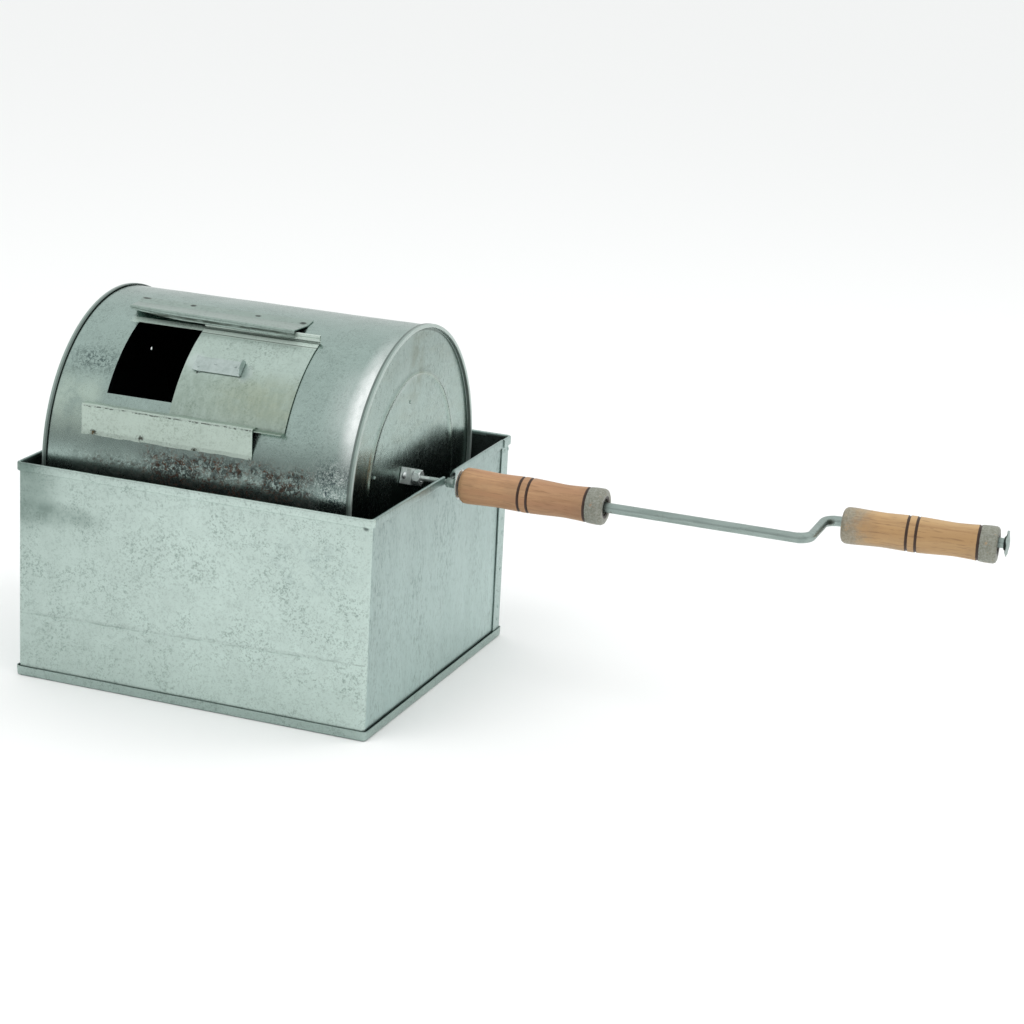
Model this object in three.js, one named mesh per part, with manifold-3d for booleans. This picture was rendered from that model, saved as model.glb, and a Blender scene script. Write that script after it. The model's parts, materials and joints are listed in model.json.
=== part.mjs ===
// Hand-cranked drum roaster: an open sheet-metal fire box, a drum that hangs in it on two axles,
// a sliding door on the drum, and a long crank bar with a steadying grip and a crank grip.
// Units are millimetres. Origin: bottom centre of the fire box. +X points along the axle to the crank,
// +Y to the back wall, +Z up.
import * as THREE from 'three';
import { mergeVertices } from 'three/addons/utils/BufferGeometryUtils.js';
import Module from 'manifold-3d';

const wasm = await Module();
wasm.setup();

// ---------- driving dimensions ----------
const GAP = 0.3;                 // gap kept between touching pieces
const SHEET = 0.8;               // sheet of the box
const BOX_X = 170.6;             // half width to the outer face of the side walls
const BOX_Y = 159.0;             // half depth to the outer face of front and back walls
const BOX_H = 200.0;             // height of the walls
const HEM_H = 8.0;               // rolled hem along the top
const HEM_OUT = 2.2;             // how far the hem stands proud
const CORNER_R = 3.2;            // bend radius of the wall corners
const LAP = 18.5;                // how far the back panel laps over the side walls
const PAN_H = 9.0;               // upturned edge of the floor pan

const AXIS_Z = 193.5;            // height of the axle
const NOTCH_Y0 = -5, NOTCH_Y1 = 14, NOTCH_Z = 190.5;

const DRUM_X0 = -159.9, DRUM_X1 = 141.6;  // outer planes of the two seam rings
const SHELL_R = 136.8, SHELL_T = 0.7;
const RING_R = 138.3;            // outer radius of the seam rings
const RECESS = 3.8;              // end disc lies this far inside the ring plane
const BEAD_R = 94, BEAD_W = 5, BEAD_H = 1.0;
const SEG = 72;

const WIN_X0 = -105.6, WIN_X1 = -20, WIN_A0 = 30.3, WIN_A1 = 63.7;  // filling window, angles from the front
const RAIL_X0 = -122.3, RAIL_X1U = 48, RAIL_X1L = 44.5, RAIL_T = 0.8;
const DOOR_X0 = -41, DOOR_X1 = 71, DOOR_T = 0.7, DOOR_R = SHELL_R + GAP;

const SPINDLE_R = 2.6, ROD_R = 4.5;
const NUT_AF = 13, NUT_T = 6.5;
const GRIP_L = 135, GRIP_BORE = 7.4;
const STEADY_X = 189;
const WASHER_X = 185.6, WASHER_T = 1.4, WASHER_R = 13.5;
const CRANK_X = 507, THROW = 60, THROW_DIR = [60, 2], PIN_TILT = 4;   // crank arm place, throw, its direction in Y,Z and the pin's lean in degrees
const PIN_END_X = 662.9, CRANK_GRIP_X = 521.8, GRIP_HANG = 2.5;

// ---------- geometry helpers ----------
const rad = (d) => (d * Math.PI) / 180;
const onArc = (r, deg) => [-r * Math.cos(rad(deg)), r * Math.sin(rad(deg))];   // (y, z above the axle) on the drum, angle from the front

function toSolid(geometry) {
  const g = geometry.clone();
  g.deleteAttribute('normal');
  g.deleteAttribute('uv');
  const m = mergeVertices(g, 1e-4);
  let tri = Uint32Array.from(m.index.array);
  const p = m.attributes.position.array;
  let volume = 0;
  for (let i = 0; i < tri.length; i += 3) {
    const [a, b, c] = [tri[i] * 3, tri[i + 1] * 3, tri[i + 2] * 3];
    volume += p[a] * (p[b + 1] * p[c + 2] - p[b + 2] * p[c + 1])
      - p[a + 1] * (p[b] * p[c + 2] - p[b + 2] * p[c])
      + p[a + 2] * (p[b] * p[c + 1] - p[b + 1] * p[c]);
  }
  if (volume < 0) for (let i = 0; i < tri.length; i += 3) [tri[i + 1], tri[i + 2]] = [tri[i + 2], tri[i + 1]];
  return new wasm.Manifold(new wasm.Mesh({ numProp: 3, vertProperties: Float32Array.from(p), triVerts: tri }));
}

function toGeometry(solid) {
  const mesh = solid.getMesh();
  const g = new THREE.BufferGeometry();
  g.setAttribute('position', new THREE.BufferAttribute(Float32Array.from(mesh.vertProperties), 3));
  g.setIndex(Array.from(mesh.triVerts));
  g.computeVertexNormals();
  return g;
}

const cut = (a, ...others) => others.reduce((s, o) => s.subtract(o), a);
const join = (a, ...others) => others.reduce((s, o) => s.add(o), a);

// rings of points joined into one closed body; each ring is a closed loop with the same count
function loft(rings, closed = false) {
  const n = rings[0].length, m = rings.length;
  const pos = rings.flat(2), idx = [];
  const last = closed ? m : m - 1;
  for (let i = 0; i < last; i++) {
    const j = (i + 1) % m;
    for (let k = 0; k < n; k++) {
      const l = (k + 1) % n;
      idx.push(i * n + k, j * n + k, j * n + l, i * n + k, j * n + l, i * n + l);
    }
  }
  if (!closed) {
    // flat ends, triangulated in the ring's own plane
    const flat = (ring) => {
      const o = new THREE.Vector3(...ring[0]);
      const nrm = new THREE.Vector3();
      for (let k = 0; k < n; k++) {
        const a = new THREE.Vector3(...ring[k]).sub(o), b = new THREE.Vector3(...ring[(k + 1) % n]).sub(o);
        nrm.add(new THREE.Vector3().crossVectors(a, b));
      }
      nrm.normalize();
      const u = new THREE.Vector3(Math.abs(nrm.x) > 0.8 ? 0 : 1, Math.abs(nrm.x) > 0.8 ? 1 : 0, 0).cross(nrm).normalize();
      const v = new THREE.Vector3().crossVectors(nrm, u);
      return THREE.ShapeUtils.triangulateShape(ring.map((q) => {
        const w = new THREE.Vector3(...q).sub(o);
        return new THREE.Vector2(w.dot(u), w.dot(v));
      }), []);
    };
    for (const [a, b, c] of flat(rings[0])) idx.push(a, b, c);
    const base = (m - 1) * n;
    for (const [a, b, c] of flat(rings[m - 1])) idx.push(base + c, base + b, base + a);
  }
  const g = new THREE.BufferGeometry();
  g.setAttribute('position', new THREE.BufferAttribute(Float32Array.from(pos), 3));
  g.setIndex(idx);
  // the ends may face the wrong way round relative to the sides: try both
  try { return toSolid(g); } catch { /* fall through */ }
  if (!closed) {
    const ends = idx.splice((m - 1) * n * 6);
    for (let i = 0; i < ends.length; i += 3) idx.push(ends[i], ends[i + 2], ends[i + 1]);
  }
  g.setIndex(idx);
  return toSolid(g);
}

// a closed (x, r) profile turned round the X axis; r is more than 0 everywhere
const ringX = (profile, seg = SEG) => loft(
  Array.from({ length: seg }, (_, i) => {
    const a = (i / seg) * Math.PI * 2;
    return profile.map(([x, r]) => [x, -r * Math.cos(a), r * Math.sin(a)]);
  }), true);

// an (x, r) profile that starts and ends on the X axis, turned by a LatheGeometry
function turnedX(profile, seg = 24) {
  const g = new THREE.LatheGeometry(profile.map(([x, r]) => new THREE.Vector2(r, x)), seg);
  g.rotateZ(-Math.PI / 2);
  return toSolid(g);
}

function prism(points, depth, matrix) {
  const g = new THREE.ExtrudeGeometry(new THREE.Shape(points.map(([a, b]) => new THREE.Vector2(a, b))), { depth, bevelEnabled: false, steps: 1, curveSegments: 1 });
  g.applyMatrix4(matrix);
  return toSolid(g);
}
// polygon in (y, z) run along X
const prismX = (points, x0, x1) => prism(points, x1 - x0, new THREE.Matrix4().set(0, 0, 1, x0, 1, 0, 0, 0, 0, 1, 0, 0, 0, 0, 0, 1));
// polygon in (x, y) run along Z
const prismZ = (points, z0, z1) => prism(points, z1 - z0, new THREE.Matrix4().makeTranslation(0, 0, z0));
const box = (x0, y0, z0, x1, y1, z1) => toSolid(new THREE.BoxGeometry(x1 - x0, y1 - y0, z1 - z0).translate((x0 + x1) / 2, (y0 + y1) / 2, (z0 + z1) / 2));
const cylX = (r, x0, x1, y = 0, z = 0, seg = 12) => toSolid(new THREE.CylinderGeometry(r, r, x1 - x0, seg).rotateZ(-Math.PI / 2).translate((x0 + x1) / 2, y, z));

// sheet of thickness t on the left of an open polyline
function ribbon(line, t) {
  const n = line.length, off = [];
  for (let i = 0; i < n; i++) {
    const d0 = i > 0 ? [line[i][0] - line[i - 1][0], line[i][1] - line[i - 1][1]] : null;
    const d1 = i < n - 1 ? [line[i + 1][0] - line[i][0], line[i + 1][1] - line[i][1]] : null;
    const nor = (d) => { const l = Math.hypot(...d); return [-d[1] / l, d[0] / l]; };
    const a = nor(d0 ?? d1), b = nor(d1 ?? d0);
    const m = [a[0] + b[0], a[1] + b[1]], l = Math.hypot(...m);
    const k = t / (l / 2) / l;
    off.push([line[i][0] + m[0] * k, line[i][1] + m[1] * k]);
  }
  return [...line, ...off.reverse()];
}

// a path with its inner corners rounded
function rounded(path, r, steps = 4) {
  const out = [path[0]];
  for (let i = 1; i < path.length - 1; i++) {
    const p = new THREE.Vector2(...path[i]);
    const a = new THREE.Vector2(...path[i - 1]).sub(p).normalize(), b = new THREE.Vector2(...path[i + 1]).sub(p).normalize();
    const half = Math.acos(a.dot(b)) / 2;
    const reach = r / Math.tan(half);
    const c = p.clone().addScaledVector(a.clone().add(b).normalize(), r / Math.sin(half));
    const s = p.clone().addScaledVector(a, reach).sub(c), e = p.clone().addScaledVector(b, reach).sub(c);
    const turn = Math.atan2(s.x * e.y - s.y * e.x, s.dot(e));
    for (let k = 0; k <= steps; k++) {
      const q = s.clone().rotateAround(new THREE.Vector2(), (turn * k) / steps).add(c);
      out.push([q.x, q.y]);
    }
  }
  out.push(path[path.length - 1]);
  return out;
}

// profile of (outward offset, z) run along a plan path; outward is to the right of travel
function wallSweep(path, profile) {
  const n = path.length;
  return loft(path.map((p, i) => {
    const d0 = i > 0 ? [p[0] - path[i - 1][0], p[1] - path[i - 1][1]] : null;
    const d1 = i < n - 1 ? [path[i + 1][0] - p[0], path[i + 1][1] - p[1]] : null;
    const nor = (d) => { const l = Math.hypot(...d); return [d[1] / l, -d[0] / l]; };
    const a = nor(d0 ?? d1), b = nor(d1 ?? d0);
    const m = [a[0] + b[0], a[1] + b[1]], l = Math.hypot(...m), k = 1 / (l / 2) / l;
    return profile.map(([o, z]) => [p[0] + m[0] * k * o, p[1] + m[1] * k * o, z]);
  }));
}

// sheet wall with a hollow rolled hem along its top edge
const hemmed = (z0, out) => [
  [-SHEET, z0], [0, z0], [0, BOX_H - 1.2], [0.4, BOX_H - 0.8], [out - 1.2, BOX_H - 0.8], [out - 0.8, BOX_H - 1.2],
  [out - 0.8, BOX_H - HEM_H + 0.8], [GAP, BOX_H - HEM_H + 0.8], [GAP, BOX_H - HEM_H], [out - 0.4, BOX_H - HEM_H],
  [out, BOX_H - HEM_H + 0.6], [out, BOX_H - 0.8], [out - 0.6, BOX_H], [-0.3, BOX_H], [-SHEET, BOX_H - 0.6],
];

// ---------- scene graph ----------
const roaster = new THREE.Group();
const material = (color, roughness, metalness) => new THREE.MeshStandardMaterial({ color, roughness, metalness });
const zincBox = () => material(0xb4c3bf, 0.42, 0.85);
const zincDrum = () => material(0x8f9f9b, 0.35, 0.9);
const zincDoor = () => material(0xa9b8b3, 0.4, 0.85);
const steel = () => material(0xa3adaa, 0.38, 0.9);
const wood = () => material(0xc9a57c, 0.62, 0.0);

function add(name, solid, mat, parent = roaster) {
  const mesh = new THREE.Mesh(toGeometry(solid), mat);
  mesh.name = name;
  parent.add(mesh);
  return mesh;
}

// ---------- fire box ----------
const wallEnd = BOX_Y - CORNER_R - GAP;   // the side walls stop short of the back panel's bends
const wallPath = rounded([[-BOX_X, wallEnd], [-BOX_X, -BOX_Y], [BOX_X, -BOX_Y], [BOX_X, wallEnd]], CORNER_R);
const lapY = BOX_Y - LAP;
add('wall_wrap', cut(
  wallSweep(wallPath, hemmed(SHEET + GAP, HEM_OUT)),
  box(BOX_X, lapY - GAP, 150, BOX_X + 6, BOX_Y + 5, 210),           // no hem under the back panel's laps
  box(-BOX_X - 6, lapY - GAP, 150, -BOX_X, BOX_Y + 5, 210),
  box(BOX_X - 4, NOTCH_Y0, NOTCH_Z, BOX_X + 6, NOTCH_Y1, 210),      // axle notches
  box(-BOX_X - 6, NOTCH_Y0, NOTCH_Z, -BOX_X + 4, NOTCH_Y1, 210),
), zincBox());

const lapX = BOX_X + GAP + SHEET;
add('back_panel', wallSweep(rounded([[lapX, lapY], [lapX, BOX_Y], [-lapX, BOX_Y], [-lapX, lapY]], CORNER_R), hemmed(SHEET + GAP, 2.0)), zincBox());

const rect = (x, y, r) => {
  const q = rounded([[0, -y], [x, -y], [x, y], [-x, y], [-x, -y], [0, -y]], r);
  q.pop();
  return q;
};
const panIn = [lapX + GAP, BOX_Y + GAP];
add('floor_pan', cut(
  prismZ(rect(panIn[0] + SHEET, panIn[1] + SHEET, CORNER_R + SHEET), 0, PAN_H),
  prismZ(rect(panIn[0], panIn[1], CORNER_R), SHEET, PAN_H + 5),
), zincBox());

// ---------- drum, built about its own axle and lifted to it ----------
const drum = new THREE.Group();
drum.position.set(0, 0, AXIS_Z);
roaster.add(drum);

const shellX0 = DRUM_X0 + 1.1, shellX1 = DRUM_X1 - 1.1;
const windowCut = prismX([onArc(110, WIN_A0), onArc(170, WIN_A0), onArc(178, (WIN_A0 + WIN_A1) / 2), onArc(170, WIN_A1), onArc(110, WIN_A1)], WIN_X0, WIN_X1);
add('drum_shell', cut(
  ringX([[shellX0, SHELL_R - SHELL_T], [shellX1, SHELL_R - SHELL_T], [shellX1, SHELL_R], [shellX0, SHELL_R]]),
  windowCut,
), zincDrum(), drum);

// end cap: sheet disc with a pressed bead, turned out into a ring that folds back over the shell's edge.
// side is +1 for the crank end and -1 for the far end; holes are (y, z, r)
const CAP_T = 0.8;
function endCap(side, plane, holes) {
  const X = (d) => plane - side * d;      // d is the depth inside the ring plane
  const d1 = RECESS, d2 = RECESS + CAP_T;
  const solid = ringX([
    [X(d2), 3.0], [X(d1), 3.0],
    [X(d1), BEAD_R - BEAD_W / 2], [X(d1 - BEAD_H), BEAD_R], [X(d1), BEAD_R + BEAD_W / 2],
    [X(d1), RING_R - 3.5], [X(0), RING_R - 3.5],
    [X(0), RING_R - 0.4], [X(0.4), RING_R], [X(4.4), RING_R], [X(4.4), RING_R - 0.8], [X(0.8), RING_R - 0.8], [X(0.8), RING_R - 2.7],
    [X(d2), RING_R - 2.7],
  ]);
  return cut(solid, ...holes.map(([y, z, r]) => cylX(r, plane - 8, plane + 8, y, z, 8)));
}

// strap across the middle of an end disc, raised over the spindle
const STRAP_W = 15, STRAP_T = 1.0, STRAP_LIFT = 2.6, STRAP_TILT = -17, RIVET_Y = 19.5;
const turn = ([y, z]) => [y * Math.cos(rad(STRAP_TILT)) - z * Math.sin(rad(STRAP_TILT)), y * Math.sin(rad(STRAP_TILT)) + z * Math.cos(rad(STRAP_TILT))];
function strap(side, face) {
  const D = (d) => face + side * d;
  const line = [[-26, 0], [-13, 0], [-9, STRAP_LIFT], [9, STRAP_LIFT], [13, 0], [26, 0]];
  const section = ribbon(line.map(([y, d]) => [y, d]), STRAP_T);        // (y, distance out from the disc)
  const solid = prismZ(section.map(([y, d]) => [D(d), y]), -STRAP_W / 2, STRAP_W / 2);
  const drilled = cut(solid, cylX(SPINDLE_R + GAP, face - 20, face + 20), ...[-RIVET_Y, RIVET_Y].map((y) => cylX(1.8, face - 20, face + 20, y, 0, 8)));
  return drilled.rotate([STRAP_TILT, 0, 0]);
}
function rivet(side, face, y) {
  const X = (d) => face + side * d;
  const solid = turnedX([
    [X(-CAP_T - GAP - 1.2), 0], [X(-CAP_T - GAP - 1.2), 2.4], [X(-CAP_T - GAP), 2.8], [X(-CAP_T - GAP), 1.4],
    [X(STRAP_T + 2 * GAP), 1.4], [X(STRAP_T + 2 * GAP), 3.2], [X(STRAP_T + 2 * GAP + 1.0), 2.6], [X(STRAP_T + 2 * GAP + 1.6), 1.2], [X(STRAP_T + 2 * GAP + 1.7), 0],
  ], 8);
  const [cy, cz] = turn([y, 0]);
  return solid.translate([0, cy, cz]);
}
const hexagon = (af) => Array.from({ length: 6 }, (_, i) => [(af / Math.sqrt(3)) * Math.cos(rad(60 * i + 12)), (af / Math.sqrt(3)) * Math.sin(rad(60 * i + 12))]);
const nut = (x0, x1) => cut(prismX(hexagon(NUT_AF), x0, x1), cylX(SPINDLE_R + GAP, x0 - 1, x1 + 1));

for (const [side, plane, label, spots] of [[1, DRUM_X1, 'right', []], [-1, DRUM_X0, 'left', [[55, 68, 1.6]]]]) {
  const face = plane - side * RECESS;
  const rivets = [-RIVET_Y, RIVET_Y].map((y) => turn([y, 0]));
  add('end_cap_' + label, endCap(side, plane, [...rivets.map(([y, z]) => [y, z, 1.8]), ...spots]), zincDrum(), drum);
  add('bracket_' + label, strap(side, face + side * GAP), steel(), drum);
  add('bracket_rivet_' + label + '_front', rivet(side, face, -RIVET_Y), steel(), drum);
  add('bracket_rivet_' + label + '_back', rivet(side, face, RIVET_Y), steel(), drum);
  const out = face + side * (GAP + STRAP_LIFT + STRAP_T + GAP), inn = face - side * (CAP_T + GAP);
  add('axle_nut_' + label, nut(Math.min(out, out + side * NUT_T), Math.max(out, out + side * NUT_T)), steel(), drum);
  add('axle_nut_' + label + '_inner', nut(Math.min(inn, inn - side * NUT_T), Math.max(inn, inn - side * NUT_T)), steel(), drum);
}
const innerX = (side, plane) => plane - side * (RECESS + CAP_T + GAP + NUT_T + 1.5);
add('stub_axle_left', cylX(SPINDLE_R, -BOX_X - 8, innerX(-1, DRUM_X0)), steel(), drum);
add('drive_spindle', cylX(SPINDLE_R, innerX(1, DRUM_X1), 206), steel(), drum);

// guide rails: a foot on the shell, a plate that stands off it and a turned edge that holds the door down
const arc = (r, a0, a1, n) => Array.from({ length: n + 1 }, (_, i) => onArc(r, a0 + ((a1 - a0) * i) / n));
add('rail_upper', prismX(ribbon([[-61.6, 130.0], [-61.6, 136.0], ...arc(DOOR_R, 75.9, 80.5, 3)], RAIL_T), RAIL_X0, RAIL_X1U), zincDrum(), drum);
add('rail_lower', prismX(ribbon([...arc(DOOR_R, 14, 15.5, 1), [-132.4, 60.2], [-125.2, 60.2]], RAIL_T), RAIL_X0, RAIL_X1L), zincDoor(), drum);

// crank bar: straight from the box, across by the throw, then the crank pin
const throwLen = Math.hypot(...THROW_DIR), throwY = THROW_DIR[0] / throwLen, throwZ = THROW_DIR[1] / throwLen;
const place = ([x, s]) => [x, s * throwY, s * throwZ];
const pinAt = (x) => THROW + (x - CRANK_X) * Math.tan(rad(PIN_TILT));
const rodStart = BOX_X + HEM_OUT + 0.9;
const rodLine = rounded([[rodStart, 0], [CRANK_X, 0], [CRANK_X, THROW], [PIN_END_X, pinAt(PIN_END_X)]], 12, 4);
function bar(line, r, sides) {
  const b = [0, -throwZ, throwY];                                    // across the plane of the crank
  return loft(line.map((p, i) => {
    const a = line[Math.max(i - 1, 0)], c = line[Math.min(i + 1, line.length - 1)];
    const l = Math.hypot(c[0] - a[0], c[1] - a[1]), t = [(c[0] - a[0]) / l, (c[1] - a[1]) / l];
    const nrm = place([-t[1], t[0]]), o = place(p);
    return Array.from({ length: sides }, (_, k) => {
      const w = (2 * Math.PI * k) / sides, cs = r * Math.cos(w), sn = r * Math.sin(w);
      return [0, 1, 2].map((j) => o[j] + nrm[j] * cs + b[j] * sn);
    });
  }));
}
add('crank_rod', cut(bar(rodLine, ROD_R, 12), cylX(SPINDLE_R + GAP, rodStart - 2, 206 + GAP)), steel(), drum);
add('thrust_washer', ringX([[WASHER_X, ROD_R + GAP], [WASHER_X + WASHER_T, ROD_R + GAP], [WASHER_X + WASHER_T, WASHER_R], [WASHER_X, WASHER_R]], 20), steel(), drum);

// ---------- sliding door, on the drum ----------
add('door_panel', prismX(ribbon([[-131.8, 58.8], [-123.85, 58.8], ...arc(DOOR_R, 25.6, 65.9, 16), [-55.98, 132]], DOOR_T), DOOR_X0, DOOR_X1), zincDoor(), drum);
// pull: a strap on the door, its right end turned up as the finger tab and its left end just lifted
const PULL_A = 47.0, PULL_W = 15, PULL_T = 0.8, PULL_X0 = -31.0, PULL_X1 = 15.6, PULL_TAB = 9.6, PULL_LIP = 1.6;
{
  const line = [[PULL_X0, PULL_LIP], [PULL_X0 + 2.6, 0], [PULL_X1 - 0.6, 0], [PULL_X1, PULL_TAB]];
  const section = ribbon(line, PULL_T);
  const strapSolid = prismZ(section, -PULL_W / 2, PULL_W / 2);        // x, height above the door, width
  // stand it on the door: height becomes the outward radius at PULL_A, width runs round the drum
  const c = Math.cos(rad(PULL_A)), s = Math.sin(rad(PULL_A));
  const base = DOOR_R + DOOR_T + GAP + 0.02;
  const m = new THREE.Matrix4().set(1, 0, 0, 0, 0, -c, s, -c * base, 0, s, c, s * base, 0, 0, 0, 1);
  add('door_pull', toSolid(toGeometry(strapSolid).applyMatrix4(m)), steel(), drum);
}

// ---------- wooden grips ----------
const gripProfile = [
  [0, GRIP_BORE], [0, 12.6], [3.2, 16.0], [8, 16.3], [20, 15.7], [36, 15.1], [50, 15.6], [63, 16.0], [76, 15.5], [98, 14.5],
  [113, 15.2], [126, 16.4], [132.4, 16.2], [135, 13.6], [135, GRIP_BORE],
];
const gripSolid = () => ringX(gripProfile, 20);
add('steady_grip', gripSolid(), wood()).position.set(STEADY_X, 0, AXIS_Z);

// the crank pin leans by PIN_TILT in the plane of the crank
const pinDir = new THREE.Vector3(...place([Math.cos(rad(PIN_TILT)), Math.sin(rad(PIN_TILT))]));
const pinTurn = new THREE.Quaternion().setFromUnitVectors(new THREE.Vector3(1, 0, 0), pinDir);
const crankGrip = add('crank_grip', gripSolid(), wood(), drum);
crankGrip.quaternion.copy(pinTurn);
const gripFoot = place([CRANK_GRIP_X, pinAt(CRANK_GRIP_X)]);
crankGrip.position.set(gripFoot[0], gripFoot[1], gripFoot[2] - GRIP_HANG);

const cap = add('push_cap', turnedX([
  [2.2, 0], [2.2, ROD_R + GAP], [0, ROD_R + GAP], [0, 5.7], [1.2, 6.4], [2.2, 9], [2.6, 11.3], [3.3, 11.3], [4.1, 8], [4.8, 3], [4.9, 0],
], 20), steel(), drum);
cap.quaternion.copy(pinTurn);
const capFoot = place([PIN_END_X, pinAt(PIN_END_X)]);
const back = pinDir.clone().multiplyScalar(-1.9);
cap.position.set(capFoot[0] + back.x, capFoot[1] + back.y, capFoot[2] + back.z);

export default roaster;
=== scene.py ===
import json
import math

import bpy
import numpy as np
from mathutils import Matrix, Vector, noise


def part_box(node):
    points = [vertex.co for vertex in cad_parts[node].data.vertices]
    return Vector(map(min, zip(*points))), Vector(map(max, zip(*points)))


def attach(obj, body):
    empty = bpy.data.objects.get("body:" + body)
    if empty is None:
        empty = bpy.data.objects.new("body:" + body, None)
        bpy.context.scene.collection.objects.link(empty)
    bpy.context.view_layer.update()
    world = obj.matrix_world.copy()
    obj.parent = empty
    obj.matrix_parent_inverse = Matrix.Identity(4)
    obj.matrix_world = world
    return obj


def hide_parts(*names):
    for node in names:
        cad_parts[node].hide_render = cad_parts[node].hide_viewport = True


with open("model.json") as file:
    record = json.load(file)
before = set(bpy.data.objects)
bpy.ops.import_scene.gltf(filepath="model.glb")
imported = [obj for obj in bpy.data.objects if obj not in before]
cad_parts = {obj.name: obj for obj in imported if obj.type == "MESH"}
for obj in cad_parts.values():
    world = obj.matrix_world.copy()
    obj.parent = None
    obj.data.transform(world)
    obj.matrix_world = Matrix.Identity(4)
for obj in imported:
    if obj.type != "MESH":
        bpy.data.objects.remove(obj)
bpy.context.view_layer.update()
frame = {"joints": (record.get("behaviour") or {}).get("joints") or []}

scene = bpy.context.scene
MM = 0.001
AXIS = frame["joints"][1]["pos_m"][2] * 1000     # height of the axle, mm

# ------------------------------------------------------------------ camera
cam_data = bpy.data.cameras.new("camera")
cam_data.sensor_width = 36.0
cam_data.lens = 94.345
cam_data.clip_start = 0.05
cam_data.clip_end = 60.0
cam = bpy.data.objects.new("camera", cam_data)
scene.collection.objects.link(cam)
CAM = (1.02867, -2.14071, 0.85787)
R = (0.93109257, 0.3610445, 0.05209122)
U = (-0.15020087, 0.24931859, 0.95670264)
D = (-0.33242491, 0.89860287, -0.28636788)
cam.matrix_world = Matrix((
    (R[0], U[0], -D[0], CAM[0]),
    (R[1], U[1], -D[1], CAM[1]),
    (R[2], U[2], -D[2], CAM[2]),
    (0, 0, 0, 1)))
scene.camera = cam
scene.view_settings.view_transform = "Standard"
scene.view_settings.look = "None"

# ------------------------------------------------------------------ small node language


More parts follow.
